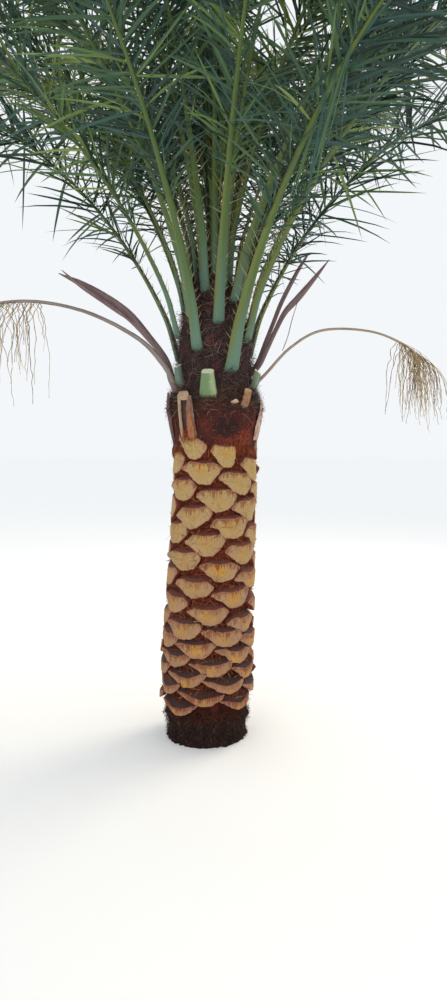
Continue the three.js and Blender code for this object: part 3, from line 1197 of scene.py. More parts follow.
    def build_fibre(self) -> bpy.types.Object:
        """Builds the loose fibre between the leaf bases.

        Returns:
            The piece.
        """
        rng = np.random.default_rng(37)
        azimuth = rng.uniform(0, TURN, self.fibre_count)
        z = rng.uniform(*self.fibre_span, self.fibre_count)
        numbers = np.arange(self.first_base, self.last_base + 1)
        away = (azimuth[:, None] - self.azimuth_of(numbers) + math.pi) % TURN - math.pi
        across = away * self.radius_at(z)[:, None] / self.fibre_free[0]
        up = (z[:, None] - self.height_of(numbers) - 0.008) / (self.fibre_free[1] * self.squat(numbers))
        covered = ((across**2 + up**2) < 1).any(axis=1)
        azimuth, z = azimuth[~covered], z[~covered]
        count = len(z)
        lifted = rng.uniform(0.0, 0.82, count) * self.standing(z) * smooth(z, 0.10, 0.22)
        start = self.point(azimuth, z, self.core_radius(z) + lifted)
        outward, tangent = ways(azimuth)
        lean = rng.normal(0, 1.0, count) + np.where(rng.uniform(size=count) < 0.5, 0.9, -0.9)
        heading = unit(tangent * np.sin(lean)[:, None] + UP * np.cos(lean)[:, None])
        heading = unit(heading + outward * rng.normal(0, 0.22, count)[:, None])
        points = self.fibre.lay(rng, start, heading, outward)
        # Fibre below 0.24 m all takes the darkest tone, as painted shade at the foot.
        tones = np.where(z < 0.24, 0, TRUNK_FIBRE.deal(rng, count))
        mesh = MeshSketch()
        mesh.add_sheets(points, False, tones)
        return mesh.build("trunk_fibre", TRUNK_FIBRE.materials())

    def build_rootlets(self) -> bpy.types.Object:
        """Builds the short dead rootlets that hang round the foot.

        Returns:
            The piece.
        """
        rng = np.random.default_rng(41)
        count = self.rootlet_count
        azimuth = rng.uniform(0, TURN, count)
        z = rng.uniform(*self.rootlet_span, count)
        start = self.point(azimuth, z, self.core_radius(z) + rng.uniform(-0.004, 0.014, count))
        outward, tangent = ways(azimuth)
        heading = unit(outward * rng.uniform(-0.15, 0.2, count)[:, None] - UP)
        heading = unit(heading + tangent * rng.normal(0, 0.8, count)[:, None])
        points = self.rootlet.lay(rng, start, heading, outward, z * 0.9)
        points[..., 2] = np.maximum(points[..., 2], 0.0)
        mesh = MeshSketch()
        mesh.add_sheets(points, False, ROOT_TONES.deal(rng, count))
        return mesh.build("foot_rootlets", ROOT_TONES.materials())

    def build(self) -> None:
        for build in (self.build_core, self.build_leaf_bases, self.build_fibre, self.build_rootlets):
            declare(build(), ["trunk"])


def turned_strands(
    profile: Iterable[Pair],
    rng: np.random.Generator,
    count: int,
    span: Pair,
    off: Pair,
    strands: Strands,
    steep: float,
    hairy: float,
) -> Array:
    """Scatters strands over a turned surface of the crown.

    Args:
        profile: (height, radius) pairs of the surface.
        rng: the source of randomness.
        count: how many strands.
        span: lowest and highest start.
        off: nearest and furthest start off the surface.
        strands: the ranges of their sizes.
        steep: how much they run up and down rather than round.
        hairy: how much they stand off the surface.

    Returns:
        Strips of points.
    """
    azimuth = rng.uniform(0, TURN, count)
    z = rng.uniform(*span, count)
    start = polar(along(profile, z) + rng.uniform(*off, count), azimuth, z) + CROWN_AXIS
    outward, tangent = ways(azimuth)
    heading = tangent * rng.normal(0, 1, count)[:, None]
    heading = unit(heading + UP * (steep * rng.normal(0.2, 1, count))[:, None])
    heading = unit(heading + outward * (hairy * rng.normal(0.1, 1, count))[:, None])
    return strands.lay(rng, start, heading, outward)


@dataclass
class Collar:
    """The smooth sheath round the trunk's top, with its ragged rim, loose flaps and fringe.

    A painted light spot's row is its azimuth, height and strength. A flap's row is its azimuth, width,
    foot, top and lift in millimetres, and its finish's number.
    """

    profile: Table = (
        (1.50, 0.208), (1.53, 0.213), (1.59, 0.222), (1.65, 0.234), (1.70, 0.243), (1.735, 0.240),
    )
    rim_profile: Table = ((1.68, 0.240), (1.72, 0.240), (1.76, 0.226), (1.82, 0.208))
    sides: int = 220
    rings: int = 52
    hem: float = 1.508
    top: float = 1.735
    shadow_spot: Pair = (-74.0, 1.612)
    rim_count: int = 7000
    thread_count: int = 1700
    fringe_count: int = 1300
    tuft_count: int = 300
    tuft_span: Pair = (-136, -116)
    loose: Strands = Strands((0.03, 0.09), (0.001, 0.0028))
    fine: Strands = Strands((0.012, 0.045), (0.0008, 0.0014))
    fringe: Strands = Strands((0.015, 0.05), (0.0012, 0.003), (0.0, 0.006), 0.006)
    flaps: tuple[tuple[float, float, float, float, float, int], ...] = (
        (-166, 84, 1550, 1790, 3, 1), (-15, 128, 1550, 1752, 3, 0), (95, 80, 1545, 1770, 12, 1),
        (150, 60, 1550, 1780, 10, 1), (48, 64, 1550, 1760, 10, 0),
    )
    light_spots: tuple[Triple, ...] = (
        (-101.0, 1.625, 0.45), (-50.0, 1.555, 1.25), (-78.0, 1.54, 0.5), (-22.0, 1.60, 0.6),
        (60.0, 1.60, 0.8), (130.0, 1.63, 0.8),
    )

    def build_sheath(self) -> bpy.types.Object:
        """Builds the sheath cloth.

        Returns:
            The piece.
        """
        rng = np.random.default_rng(51)
        azimuth = np.linspace(0, TURN, self.sides, endpoint=False)[None]
        low = self.hem + 0.008 * np.sin(5 * azimuth + 1) + 0.004 * np.sin(13 * azimuth)
        z = low + (self.top - low) * np.linspace(0, 1, self.rings)[:, None]
        wraps = (azimuth / TURN * 3 + (z - 1.5) * 0.9 + 0.1) % 1
        relief = 0.0022 * lumps(azimuth, z, rng, 12, 26, 60) + 0.006 * wraps - 0.004
        points = polar(along(self.profile, z) + relief, azimuth, z) + CROWN_AXIS
        # Painted shadow: one dark spot on the sheath.
        shade = 1.25 * self.spot(azimuth, z, self.shadow_spot, 0.080, 0.052)
        # Painted light: a faint random wash plus bright spots of sun on the sheath.
        glow = 0.25 * lumps(azimuth, z, rng, 6, 5, 14)
        for turn, height, strength in self.light_spots:
            glow = glow + strength * self.spot(azimuth, z, (turn, height), 0.068, 0.042)
        mesh = MeshSketch()
        mesh.add_sheets(points, True, 0, shade=shade, glow=np.clip(glow, 0, 1))
        mesh.add_cap(points[0], True, 0)
        mesh.add_cap(points[-1], False, 0)
        return mesh.build("collar_sheath", [CollarCloth().material()])

    @staticmethod
    def spot(azimuth: Array, z: Array, place: Pair, wide: float, tall: float) -> Array:
        """Gives a soft spot on the sheath.

        Args:
            azimuth: angles in radians.
            z: heights.
            place: the spot's azimuth in degrees and its height.
            wide: its half width in metres.
            tall: its half height in metres.

        Returns:
            1 at the spot, fading to 0.
        """
        away = (azimuth - math.radians(place[0]) + math.pi) % TURN - math.pi
        return np.exp(-((away * 0.235 / wide) ** 2) - ((z - place[1]) / tall) ** 2)

    def build_rim(self) -> bpy.types.Object:
        """Builds the ragged fibre round the sheath's upper edge and its stray threads.

        Returns:
            The piece.
        """
        rng = np.random.default_rng(53)
        mesh = MeshSketch()
        batches = (
            (self.rim_profile, self.rim_count, (1.69, 1.80), (-0.014, 0.006), self.loose, 0.35, 0.10),
            (self.profile, self.thread_count, (1.53, 1.70), (0.0, 0.003), self.fine, 2.4, 0.03),
        )
        for profile, count, *ranges in batches:
            strips = turned_strands(profile, rng, count, *ranges)
            mesh.add_sheets(strips, False, RIM_TONES.deal(rng, count))
        return mesh.build("collar_rim_fibre", RIM_TONES.materials())

    def build_fringe(self) -> bpy.types.Object:
        """Builds the orange fringe that hangs below the sheath and over the highest sawn faces.

        Returns:
            The piece.
        """
        rng = np.random.default_rng(57)
        count, tuft = self.fringe_count, self.tuft_count
        azimuth = rng.uniform(0, TURN, count)
        z = 1.515 + 0.008 * np.sin(5 * azimuth + 1) + rng.uniform(-0.01, 0.012, count)
        azimuth[:tuft] = np.radians(rng.uniform(*self.tuft_span, tuft))
        z[:tuft] = rng.uniform(1.575, 1.615, tuft)
        outer = 0.212 + 0.14 * np.clip(z - 1.53, 0, 1) + 0.008 * (np.arange(count) < tuft)
        start = polar(outer + rng.uniform(0, 0.006, count), azimuth, z) + CROWN_AXIS
        outward, tangent = ways(azimuth)
        heading = unit(tangent * rng.normal(0, 0.3, count)[:, None] - UP + outward * 0.06)
        strips = self.fringe.lay(rng, start, heading, outward)
        mesh = MeshSketch()
        mesh.add_sheets(strips, False, FRINGE_TONES.deal(rng, count))
        return mesh.build("collar_fringe", FRINGE_TONES.materials())

    def build_flaps(self) -> bpy.types.Object:
        """Builds the dry flaps of old sheath that stand off the collar.

        Returns:
            The piece.
        """
        mesh = MeshSketch()
        for number, (azimuth, width, low, high, lift, tone) in enumerate(self.flaps):
            rows = []
            for share in (0.0, 0.35, 0.7, 1.0):
                z = low + (high - low) * share
                reach = float(along(self.profile, min(z * MM, 1.7))) / MM + 1 + lift * share
                swell = (0.8 + 0.3 * math.sin(math.pi * share)) * (1 - 0.5 * share**3)
                rows.append((reach, z, width * swell, 4))
            flap = Limb(azimuth, tuple(rows), swing=4, hollow=0.5, rough=0.05, seed=60 + number)
            flap.sketch(mesh, tone)
        pale = DryWood("pale_flap", (198, 172, 154), (150, 110, 94), (96, 62, 54), (200, 176, 150))
        dark = DryWood("dark_flap", (104, 62, 52), (70, 38, 34), (46, 27, 27), (120, 84, 70))
        return mesh.build("collar_flaps", [pale.material(), dark.material()])

    def build(self) -> None:
        for build in (self.build_sheath, self.build_rim, self.build_fringe, self.build_flaps):
            declare(build(), ["fibre_collar"])


@dataclass
class Heart:
    """The tangled fibre cone between the leaf stalks."""

    profile: Table = (
        (1.70, 0.226), (1.785, 0.204), (1.85, 0.190), (1.95, 0.182), (2.04, 0.178), (2.11, 0.167),
        (2.18, 0.149), (2.25, 0.122), (2.32, 0.090), (2.39, 0.060), (2.46, 0.030),
    )
    sides: int = 120
    strand_count: int = 11000
    stray_count: int = 1100
    sleeve_count: int = 90
    close: Strands = Strands((0.03, 0.10), (0.0010, 0.0028))
    stray: Strands = Strands((0.04, 0.10), (0.0009, 0.0018))
    wound: Strands = Strands((0.025, 0.06), (0.001, 0.0026), (0.0, 0.008), 0.01)

    def build_core(self) -> bpy.types.Object:
        """Builds the matted body.

        Returns:
            The piece.
        """
        rng = np.random.default_rng(71)
        z = np.linspace(self.profile[0][0], self.profile[-1][0], self.sides)[:, None]
        azimuth = np.linspace(0, TURN, self.sides, endpoint=False)[None]
        relief = 0.006 * lumps(azimuth, z, rng, 16, 16, 90)
        points = polar(along(self.profile, z) + relief, azimuth, z) + CROWN_AXIS
        mesh = MeshSketch()
        mesh.add_sheets(points, True, 0)
        mesh.add_cap(points[0], True, 0)
        mesh.add_cap(points[-1], False, 0)
        finish = MattedFibre("heart_matting", (34, 25, 24), (74, 57, 53), (106, 84, 76))
        return mesh.build("heart_matting", [finish.material()])

    def build_strands(self) -> bpy.types.Object:
        """Builds the loose strands over the matted body.

        Returns:
            The piece.
        """
        rng = np.random.default_rng(73)
        mesh = MeshSketch()
        batches = (
            (self.strand_count, (1.72, 2.42), (-0.004, 0.014), self.close, 0.9, 0.12),
            (self.stray_count, (1.78, 2.44), (0.0, 0.010), self.stray, 1.2, 0.45),
        )
        for count, *ranges in batches:
            strips = turned_strands(self.profile, rng, count, *ranges)
            mesh.add_sheets(strips, False, HEART_TONES.deal(rng, count))
        law = LeafLaw()
        for place in range(Whorl.OUTER.value[0], Whorl.INNER.value[1] + 1):
            sleeve = self.sleeve(rng, law, place)
            mesh.add_sheets(sleeve, False, HEART_TONES.deal(rng, len(sleeve)))
        return mesh.build("heart_strands", HEART_TONES.materials())

    def sleeve(self, rng: np.random.Generator, law: "LeafLaw", place: int) -> Array:
        """Winds strands round the foot of one leaf stalk.

        Args:
            rng: the source of randomness.
            law: where the leaves stand.
            place: the leaf's place on the spiral.

        Returns:
            Strips of points.
        """
        count = self.sleeve_count
        points, tangent, side, back = law.frame_at(place, rng.uniform(-0.04, 0.030, count))
        turn = rng.uniform(0, TURN, count)
        spoke = side * np.cos(turn)[:, None] * 1.25 + back * np.sin(turn)[:, None]
        around = unit(back * np.cos(turn)[:, None] - side * np.sin(turn)[:, None])
        start = points + spoke * rng.uniform(0.022, 0.034, count)[:, None]
        heading = around * rng.choice([-1, 1], count)[:, None]
        heading = unit(heading + tangent * rng.normal(0, 0.5, count)[:, None])
        return self.wound.lay(rng, start, heading, unit(spoke))

    def build(self) -> None:
        for build in (self.build_core, self.build_strands):
            declare(build(), ["crown_heart"])


@dataclass
class LeafLaw:
    """Where each leaf stands on the spiral and how its midrib arches.

    A front leaf's row is its azimuth, the height of its foot, its lean and its bend in a metre.
    """

    phase: float = -41.4
    first: int = 8
    front: dict[int, Quadruple] = field(
        default_factory=lambda: {
            8: (-64.5, 1.880, 23.5, 26.5), 11: (-116.0, 1.982, 17.5, 18.3),
            16: (-83.0, 2.112, 24.2, 24.0), 21: (-47.0, 2.225, 21.7, 18.4),
            24: (-111.7, 2.269, 10.5, 15.9),
        }
    )
    age_span: int = 30
    foot_low: float = 1.785
    foot_climb: float = 0.810
    foot_ease: float = 27.4
    leans: Pair = (20.8, -11.8)
    bends: Pair = (21.4, -5.6)
    root_depth: float = 0.030
    length: float = 3.45 * 0.94
    widest: float = 2.5
    split_leaves: int = 5
    heart: Table = (
        (1.72, 0.236), (1.785, 0.214), (1.85, 0.200), (1.95, 0.192), (2.04, 0.188), (2.11, 0.177),
        (2.18, 0.159), (2.25, 0.132), (2.32, 0.100), (2.39, 0.070), (2.45, 0.042),
    )

    def age(self, place: int) -> float:
        """Gives a leaf's age share: 0 for the oldest, about 1 for the youngest."""
        return (place - self.first) / self.age_span

    def set_out(self, place: int) -> Quadruple:
        """Gives how a leaf stands: the front leaves as they were measured, the others by the spiral.

        Args:
            place: the leaf's place on the spiral.

        Returns:
            Its azimuth in degrees, the height of its foot, its lean there and its bend in a metre.
        """
        age = self.age(place)
        foot = self.foot_low + self.foot_climb * (1 - math.exp(-(place - 3) / self.foot_ease))
        lean, bend = (first + change * age for first, change in (self.leans, self.bends))
        return self.front.get(place, (self.phase - GOLDEN_ANGLE * place, foot, lean, bend))

    def azimuth(self, place: int) -> float:
        """Gives a leaf's azimuth in radians."""
        return math.radians(self.set_out(place)[0])

    def shown_length(self, place: int) -> float:
        """Gives how far a leaf's midrib runs, inside the crown's widest reach.

        Args:
            place: the leaf's place on the spiral.

        Returns:
            The midrib's length.
        """
        length = self.length * (1 - 0.22 * self.age(place))
        distance = np.linspace(0, length, 200)
        radius = self.midrib(place, distance)[0]
        return float(distance[radius <= self.widest][-1])

    def midrib(self, place: int, distance: Array) -> tuple[Array, Array, Array]:
        """Follows a midrib.

        Args:
            place: the leaf's place on the spiral.
            distance: distances from its foot.

        Returns:
            Radii from the crown's axis, heights, and angles from the vertical in radians.
        """
        _, foot, lean, bow = self.set_out(place)
        start, bend = math.radians(lean), math.radians(bow)
        angle = start + bend * distance
        radius = along(self.heart, foot) - self.root_depth + (math.cos(start) - np.cos(angle)) / bend
        radius = radius + 0.022 * (1 - smooth(distance, 0.02, 0.28))
        return radius, foot + (np.sin(angle) - math.sin(start)) / bend, angle

    def frame_at(self, place: int, distance: Array) -> tuple[Array, Array, Array, Array]:
        """Reads places and directions along a midrib.

        Args:
            place: the leaf's place on the spiral.
            distance: distances from its foot.

        Returns:
            Points, the way along, the way to the clockwise side and the way out to the leaf's back.
        """
        radius, z, angle = (row[:, None] for row in self.midrib(place, distance))
        radial, tangent = ways(self.azimuth(place))
        points = radial * radius + UP * z + CROWN_AXIS
        along_rib = radial * np.sin(angle) + UP * np.cos(angle)
        back = radial * np.cos(angle) - UP * np.sin(angle)
        return points, along_rib, np.broadcast_to(-tangent, points.shape), back

    def nodes(self, place: int) -> list[str]:
        """Names the frame's nodes of a leaf.

        Args:
            place: the leaf's place on the spiral.

        Returns:
            One name, or two where the leaf is split at its bend.
        """
        number = place - self.first + 1
        name = f"frond_{number:02d}"
        return [f"{name}_rising", f"{name}_arching"] if number <= self.split_leaves else [name]


@dataclass
class Fronds:
    """The living leaves: channelled stalks, spines and folded leaflets in several ranks.

    A row of hanging leaflets is the stretch of the midrib that they hang from and their count.
    """

    law: LeafLaw = field(default_factory=LeafLaw)
    rib_sides: int = 12
    rib_stations: int = 48
    sunk_foot: float = 0.012
    widths: Table = (
        (-0.06, 0.080), (0.0, 0.080), (0.08, 0.070), (0.3, 0.058), (0.5, 0.046), (0.8, 0.034),
        (1.2, 0.023), (1.6, 0.017), (2.2, 0.011), (2.8, 0.008), (3.3, 0.004),
    )
    leaflet_start: float = 0.58
    front_bare: float = 0.13
    leaflet_spacing: float = 0.0126
    leaflet_lengths: Table = (
        (0, 0.16), (0.04, 0.28), (0.12, 0.43), (0.4, 0.47), (0.7, 0.40), (0.9, 0.28), (1, 0.16),
    )
    leaflet_angles: Table = ((0, 42), (0.06, 50), (0.18, 57), (0.5, 48), (0.8, 36), (1, 12))
    half_widths: Table = ((0, 0.0048), (0.15, 0.0072), (0.7, 0.0082), (1, 0.0055))
    low_lengths: Table = ((0.3, 0.17), (0.45, 0.27), (0.7, 0.32))
    thicknesses: Table = ((-0.06, 0.6), (0.3, 0.62), (1.0, 0.85), (3.0, 1.0))
    spine_start: float = 0.09
    spine_spacing: float = 0.040
    spine_seat: Pair = (0.46, 0.1)
    spine_spreads: Pair = (28, 62)
    spine_ranks: Pair = (-20, 60)
    spine_lengths: Pair = (0.028, 0.05)
    spine_girths: Pair = (0.0011, 0.0018)
    spine_rings: Table = ((0, 1.3), (0.5, 0.85), (1, 0.12))
    leaflet_seat: Pair = (0.36, 0.12)
    scatter: Pair = (10, 14)
    stray_share: float = 0.2
    stray_scatter: float = 2.4
    reaches: Pair = (0.82, 1.08)
    girths: Pair = (0.8, 1.15)
    sun: float = 2.6
    shade: float = 1.8
    foot_shade: float = 0.9
    twist: float = 0.6
    folds: Pair = (18, 38)
    droops: Pair = (0.02, 0.3)
    sway: Pair = (0.02, 0.05)
    below: float = 0.03
    spray: int = 3
    end_shares: tuple[float, ...] = (0.995, 1.0, 1.0)
    ranks: tuple[float, ...] = (-24.0, 12.0, 44.0)
    outer_ranks: tuple[float, ...] = (-28.0, 6.0, 40.0)
    open_patches: Patches = Patches(
        (
            (294, 22, 38, 36, 0.9), (92, 10, 26, 26, 0.85), (166, 76, 18, 20, 0.5),
            (50, 178, 46, 30, 0.4), (345, 180, 36, 34, 0.5), (150, 215, 36, 30, 0.4),
            (140, 30, 24, 44, 0.75), (132, 82, 26, 30, 0.35), (420, 140, 44, 32, 0.5),
        )
    )
    sunny_patches: Patches = Patches(
        ((80, 92, 42, 60, 0.9), (238, 60, 34, 70, 1.5), (110, 150, 30, 30, 1.0), (270, 60, 20, 60, 0.9))
    )
    shaded_patches: Patches = Patches(((405, 40, 60, 70, 1.0), (210, 110, 30, 60, 0.1)))
    hanging: dict[int, tuple[float, float, int]] = field(default_factory=lambda: {8: (1.28, 1.54, 10)})
    low_start: float = 0.34
    low_spacing: float = 0.032
    low_seat: Pair = (0.4, 0.1)
    low_spread: Pair = (76, 11)
    low_rank: Pair = (4, 20)
    low_reaches: Pair = (0.75, 1.15)
    low_halves: Pair = (0.0042, 0.0062)
    low_last: int = 28
    stations: tuple[float, ...] = (0, 0.07, 0.28, 0.55, 0.8, 1)
    outline: tuple[float, ...] = (0.35, 0.8, 1.0, 0.9, 0.6, 0.04)

    def girth(self, place: int) -> float:
        """Gives how stout a leaf's stalk is against the stoutest."""
        return 1.0 if place == self.law.first else 0.86 - 0.3 * self.law.age(place)

    def width_at(self, place: int, distance: Array) -> Array:
        """Gives a stalk's width at distances from its foot."""
        return along(self.widths, distance) * self.girth(place)

    def margin(
        self, place: int, distance: Array, hand: int, seat: Pair
    ) -> tuple[Array, Array, Array, Array]:
        """Finds where spines or leaflets leave one margin of a stalk.

        Args:
            place: the leaf's place on the spiral.
            distance: distances from its foot.
            hand: 1 for the clockwise side, -1 for the other.
            seat: how far aside from the middle and how deep, in widths of the stalk.

        Returns:
            Points, the way along, the way to that side and the way out to the leaf's back.
        """
        points, tangent, side, back = self.law.frame_at(place, distance)
        width = self.width_at(place, distance)
        root = points + side * (hand * seat[0] * width)[:, None] - back * (seat[1] * width)[:, None]
        return root, tangent, side * hand, back

    def sketch_rib(self, mesh: MeshSketch, place: int) -> None:
        """Adds a stalk and its midrib to a mesh.

        Args:
            mesh: the mesh that it goes into.
            place: the leaf's place on the spiral.
        """
        length = self.law.shown_length(place) + self.below
        distance = length * np.linspace(0, 1, self.rib_stations) ** 1.25 - self.below
        points, _, side, back = self.law.frame_at(place, distance)
        points = points - back * (1.5 * np.maximum(self.sunk_foot - distance, 0))[:, None]
        width = self.width_at(place, distance)
        thick = width * along(self.thicknesses, distance)
        theta = TURN * np.arange(self.rib_sides) / self.rib_sides
        across, outer = np.cos(theta), np.sin(theta)
        depth = np.where(outer > 0, outer, outer * 0.5 + 0.12 * (outer < -0.9))
        ring = side[:, None] * (0.5 * width[:, None] * across)[..., None]
        ring = ring + back[:, None] * (0.5 * thick[:, None] * depth)[..., None]
        grid = points[:, None] + ring
        run = (distance / 1.6)[:, None]
        # Painted shade on the channel side facing the crown's axis, half as strong on the outer whorl.
        inside = np.maximum(-outer, 0) * (0.5 if place <= Whorl.OUTER.value[1] else 1.0)
        seed = place * 0.381 % 1
        mesh.add_sheets(grid, True, 0, run=run, across=across, inside=inside, seed=seed)
        mesh.add_cap(grid[0], True, 0, seed=seed)
        mesh.add_cap(grid[-1], False, 0, run=2.0, seed=seed)

    def sketch_spines(self, mesh: MeshSketch, place: int, rng: np.random.Generator) -> None:
        """Adds the spines of a stalk's margins to a mesh.

        Args:
            mesh: the mesh that they go into.
            place: the leaf's place on the spiral.
            rng: the source of randomness.
        """
        for hand in (-1, 1):
            distance = np.arange(self.spine_start, self.leaflet_start + 0.1, self.spine_spacing)
            count = len(distance)
            distance = distance + rng.normal(0, 0.006, count)
            root, tangent, side, back = self.margin(place, distance, hand, self.spine_seat)
            spread = np.radians(rng.uniform(*self.spine_spreads, count))
            rank = np.radians(rng.uniform(*self.spine_ranks, count))
            heading = self._heading(tangent, side, back, spread, rank)
            length = rng.uniform(*self.spine_lengths, count) + 0.05 * smooth(distance, 0.35, 0.65)
            girth = rng.uniform(*self.spine_girths, count)
            first = unit(np.cross(heading, back))
            second = np.cross(heading, first)
            turns = [TURN * corner / 3 for corner in range(3)]
            spokes = [first * math.cos(turn) + second * math.sin(turn) for turn in turns]
            rings = []
            for share, slim in self.spine_rings:
                middle = root + heading * (length * share)[:, None]
                stout = (girth * slim)[:, None]
                rings.append(np.stack([middle + spoke * stout for spoke in spokes], axis=1))
            mesh.add_sheets(np.stack(rings, axis=1), True, SPINE_TONES.deal(rng, count))

    @staticmethod
    def _heading(tangent: Array, side: Array, back: Array, spread: Array, rank: Array) -> Array:
        """Gives directions spread from the midrib to a side and raised out of the leaf's plane.

        Args:
            tangent: the way along the midrib.
            side: the way to the side.
            back: the way out to the leaf's back.
            spread: angles from the midrib.
            rank: angles raised from the leaf's plane to its inner face.

        Returns:
            Unit directions.
        """
        level = side * np.cos(rank)[:, None] - back * np.sin(rank)[:, None]
        return unit(tangent * np.cos(spread)[:, None] + level * np.sin(spread)[:, None])

    def sketch_leaflets(self, mesh: MeshSketch, place: int, rng: np.random.Generator) -> None:
        """Adds a leaf's leaflets to a mesh.

        Args:
            mesh: the mesh that they go into.
            place: the leaf's place on the spiral.
            rng: the source of randomness.
        """
        length = self.law.shown_length(place)
        age = self.law.age(place)
        outer = place <= Whorl.OUTER.value[1]
        ranks = np.array(self.outer_ranks if outer else self.ranks)
        facing = -math.sin(self.law.azimuth(place))
        behind = facing < 0.5
        start = self.leaflet_start + self.front_bare * smooth(facing, 0.2, 0.8) + (0 if outer else 0.07)
        for hand in (-1, 1):
            share = np.arange(0, 1, self.leaflet_spacing / (length - start))
            share = np.append(share, self.end_shares)
            count = len(share)
            distance = start + share * (length - start)
            distance = np.minimum(distance + rng.normal(0, 0.006, count), length)
            root, tangent, side, back = self.margin(place, distance, hand, self.leaflet_seat)
            stray = np.where(rng.uniform(size=count) < self.stray_share, self.stray_scatter, 1.0)
            spread = along(self.leaflet_angles, share) + stray * rng.normal(0, self.scatter[0], count)
            rank = ranks[np.arange(count) % 3] + stray * rng.normal(0, self.scatter[1], count)
            heading = self._heading(tangent, side, back, np.radians(spread), np.radians(rank))
            reach = along(self.leaflet_lengths, share) * (1 - 0.12 * age)
            reach = reach * rng.uniform(*self.reaches, count)
            half = along(self.half_widths, share) * rng.uniform(*self.girths, count)
            half = half * (1.12 if behind else 0.98)
            middle, tip = (root + heading * (part * reach)[:, None] for part in (0.5, 0.85))
            sunny = self.sun * self.sunny_patches.strength(middle) * behind + (-0.5 if outer else 0.3)
            sunny = sunny - self.foot_shade * (1 - smooth(share, 0.04, 0.2))
            sunny = sunny - self.shade * self.shaded_patches.strength(middle)
            lift = np.maximum.reduceat(sunny, np.arange(0, count, self.spray))
            slots = np.repeat(GREENS.deal(rng, len(lift), lift), self.spray)[:count]
            gap = np.maximum(self.open_patches.strength(middle), self.open_patches.strength(tip))
            kept = rng.uniform(size=count) > gap
            leaflets = (root, heading, tangent, reach, half, slots)
            self.sketch_blades(mesh, rng, *(value[kept] for value in leaflets))

    def sketch_low(self, mesh: MeshSketch, place: int) -> None:
        """Adds the few slim leaflets that stand below the close ranks of a leaf on the right or behind.

        Args:
            mesh: the mesh that they go into.
            place: the leaf's place on the spiral.
        """
        azimuth = self.law.azimuth(place)
        if place > self.low_last or -math.sin(azimuth) > 0.55 or math.cos(azimuth) < -0.15:
            return
        rng = np.random.default_rng(300 + place)
        for hand in (-1, 1):
            distance = np.arange(self.low_start, self.leaflet_start + 0.06, self.low_spacing)
            distance = distance + rng.normal(0, 0.008, len(distance))
            count = len(distance)
            root, tangent, side, back = self.margin(place, distance, hand, self.low_seat)
            spread = np.radians(rng.normal(*self.low_spread, count))
            rank = np.radians(rng.normal(*self.low_rank, count))
            heading = self._heading(tangent, side, back, spread, rank)
            reach = along(self.low_lengths, distance) * rng.uniform(*self.low_reaches, count)
            half = rng.uniform(*self.low_halves, count)
            slots = GREENS.deal(rng, count, -0.5)
            self.sketch_blades(mesh, rng, root, heading, tangent, reach, half, slots)

    def sketch_hanging(self, mesh: MeshSketch, place: int) -> None:
        """Adds the limp leaflets that hang from a stretch of a leaf's midrib, if it has any.

        Args:
            mesh: the mesh that they go into.
            place: the leaf's place on the spiral.
        """
        start, end, count = self.hanging.get(place, (0.0, 0.0, 0))
        if not count:
            return
        rng = np.random.default_rng(200 + place)
        points, tangent, side, _ = self.law.frame_at(place, np.sort(rng.uniform(start, end, count)))
        down = side * rng.uniform(0.0, 0.45, count)[:, None] - tangent * 0.25 - UP
        heading = unit(down + rng.normal(0, 0.07, (count, 3)))
        reach, half = rng.uniform(0.26, 0.42, count), rng.uniform(0.006, 0.009, count)
        slots = rng.choice([2, 4, 2, 5], count)
        self.sketch_blades(mesh, rng, points + side * 0.01, heading, side, reach, half, slots)

    def sketch_blades(
        self,
        mesh: MeshSketch,
        rng: np.random.Generator,
        root: Array,
        heading: Array,
        tangent: Array,
        reach: Array,
        half: Array,
        slots: Array,
    ) -> None:
        """Adds folded, pointed leaflets to a mesh.

        Args:
            mesh: the mesh that they go into.
            rng: the source of randomness.
            root: where each leaflet starts.
            heading: its direction.
            tangent: the way along the midrib there.
            reach: its length.
            half: half of its width.
            slots: its colour number.
        """
        count = len(root)
        wide = unit(tangent - heading * (tangent * heading).sum(-1, keepdims=True))
        face = np.cross(heading, wide)
        twist = rng.normal(0, self.twist, count)[:, None]
        cosine, sine = np.cos(twist), np.sin(twist)
        wide, face = wide * cosine + face * sine, face * cosine - wide * sine
        fold = np.radians(rng.uniform(*self.folds, count))[:, None]
        droop = rng.uniform(*self.droops, count) * reach
        sway = rng.normal(*self.sway, count) * reach
        rows = []
        for share, slim in zip(self.stations, self.outline):
            middle = root + heading * (reach * share)[:, None] + tangent * (sway * share**2)[:, None]
            middle = middle - UP * (droop * share**2)[:, None]
            broad = (half * slim)[:, None]
            flat, rise = wide * broad * np.cos(fold), face * broad * np.sin(fold)
            rows.append(np.stack([middle - flat + rise, middle, middle + flat + rise], axis=1))
        mesh.add_sheets(np.stack(rows, axis=1), False, slots)

    def build(self) -> None:
        rng = np.random.default_rng(83)
        skin, spines, greens = StalkSkin().material(), SPINE_TONES.materials(), GREENS.materials()
        for whorl in Whorl:
            first, last = whorl.value
            ribs, points, leaflets = MeshSketch(), MeshSketch(), MeshSketch()
            nodes = []
            for place in range(first, last + 1):
                self.sketch_rib(ribs, place)
                self.sketch_spines(points, place, rng)
                self.sketch_leaflets(leaflets, place, rng)
                self.sketch_low(leaflets, place)
                self.sketch_hanging(leaflets, place)
                nodes += self.law.nodes(place)
            name = whorl.name.lower()
            declare(ribs.build(f"{name}_stalks", [skin]), nodes)
            declare(points.build(f"{name}_spines", spines), nodes)
            declare(leaflets.build(f"{name}_leaflets", greens), nodes)


